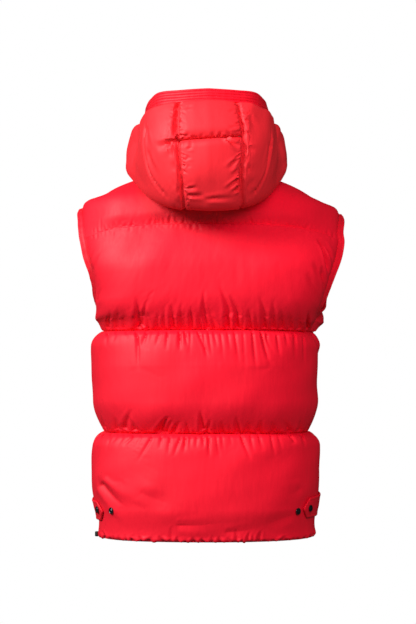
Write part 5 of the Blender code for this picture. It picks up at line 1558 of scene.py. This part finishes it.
lines = []
for row in (1.0, 2.0):
    r = np.array([row - 1e-6])
    for part, side in (("back", ""), ("front", "left"), ("front", "right")):
        first, last = panel_range(part, side, r)
        lines.append(seam_line(float(first[0]) + 0.6, float(last[0]) - 0.6, row, SEAM_OUT - 0.25))
stitches("quilting_stitches", lines, 3.2, 1.3, 0.24)
lines = []
for c in cloths:                      # two rows on the strip along each upright hood seam
    if not c.name.startswith(("hood_centre", "hood_side")):
        continue
    skin = c.shaped()
    for col in ([] if c.name == "hood_side_right" else [0]) + ([] if c.name == "hood_side_left" else [-1]):
        arc = np.abs(c.S - c.S[:, [col]])
        k, j = np.arange(c.nr), np.argmin(np.abs(arc - 1.5), 1)
        kept = (c.r[:, 0] > (0.02 if c.name.endswith("upper") else 0.35)) & (c.r[:, 0] < 0.98)
        lines.append(((skin[k, j] + c.N[k, j] * 0.15)[kept], c.N[k, j][kept]))
stitches("hood_seam_stitches", lines, 2.4, 1.4, 0.26)

# =====================================================================
# Carried-over hard pieces
# =====================================================================
def finish_node(name, material):
    obj = bpy.data.objects[name]
    if not obj.material_slots:
        obj.data.materials.append(material)
    for slot in obj.material_slots:
        slot.material = material


finish_node("zip_slider", METAL)
finish_node("zip_pull", METAL)
finish_node("hem_cord_stopper", STOPPER)

# =====================================================================
# Camera, light and ground
# =====================================================================
camera = bpy.data.objects.new("camera", bpy.data.cameras.new("camera"))
bpy.context.scene.collection.objects.link(camera)
camera.location = (0.0, 3.8, -0.261)
camera.rotation_euler = (math.radians(90), 0.0, math.radians(180))
camera.data.lens = 2111.0 / 624.0 * 36.0
camera.data.shift_y = 8.0 / 624.0
camera.data.clip_end = 50.0
bpy.context.scene.camera = camera


def softbox(name, at, aim, size, watts, tint=(1, 1, 1)):
    light = bpy.data.lights.new(name, "AREA")
    light.shape = "RECTANGLE"
    light.size, light.size_y = size
    light.energy = watts
    light.color = tint
    obj = bpy.data.objects.new(name, light)
    bpy.context.scene.collection.objects.link(obj)
    obj.location = at
    obj.rotation_euler = (Vector(aim) - Vector(at)).to_track_quat("-Z", "Y").to_euler()
    return obj


def ground():
    """Round pale floor below the vest."""
    mesh = bpy.data.meshes.new("floor")
    ring = [(1.7 * math.cos(2 * math.pi * k / 96), 1.7 * math.sin(2 * math.pi * k / 96), 0.0) for k in range(96)]
    mesh.from_pydata(ring, [], [tuple(range(96))])
    mesh.update()
    mesh.materials.append(plain("floor_pale", (0.80, 0.80, 0.80), 0.85, spec=0.2, speckle=25.0, bump_by=0.0))
    obj = bpy.data.objects.new("floor", mesh)
    bpy.context.scene.collection.objects.link(obj)
    obj.location = (0.0, 0.0, -1.45)
    obj.visible_diffuse = obj.visible_glossy = False      # no red or white bounce from below


ground()
softbox("key", (3.0, 2.35, 1.95), (0, 0, -0.25), (1.5, 1.5), 232)
softbox("fill", (-1.2, 3.6, 1.2), (0, 0, -0.25), (2.0, 1.6), 88).visible_glossy = False
softbox("top_fill", (-0.15, 2.4, 1.5), (0, 0.1, 0.05), (1.0, 1.0), 18).visible_glossy = False
softbox("front_fill", (0.8, -3.2, 0.9), (0, 0, -0.25), (2.2, 1.8), 40).visible_glossy = False
world = bpy.context.scene.world or bpy.data.worlds.new("world")
bpy.context.scene.world = world
world.use_nodes = True
tree = world.node_tree
tree.nodes.clear()
seen = tree.nodes.new("ShaderNodeBackground")
seen.inputs["Color"].default_value = (1, 1, 1, 1)
seen.inputs["Strength"].default_value = 1.0
soft = tree.nodes.new("ShaderNodeBackground")
soft.inputs["Color"].default_value = (1, 1, 1, 1)
soft.inputs["Strength"].default_value = 0.145
path = tree.nodes.new("ShaderNodeLightPath")
mix = tree.nodes.new("ShaderNodeMixShader")
end = tree.nodes.new("ShaderNodeOutputWorld")
tree.links.new(path.outputs["Is Camera Ray"], mix.inputs["Fac"])
tree.links.new(soft.outputs["Background"], mix.inputs[1])
tree.links.new(seen.outputs["Background"], mix.inputs[2])
tree.links.new(mix.outputs["Shader"], end.inputs["Surface"])
world.cycles_visibility.glossy = False
bpy.context.scene.view_settings.view_transform = "Standard"

# =====================================================================
# Sheets, sizes, end
# =====================================================================
for side in ("left", "right"):
    reach, wide, area = TAB_SIZES[side]
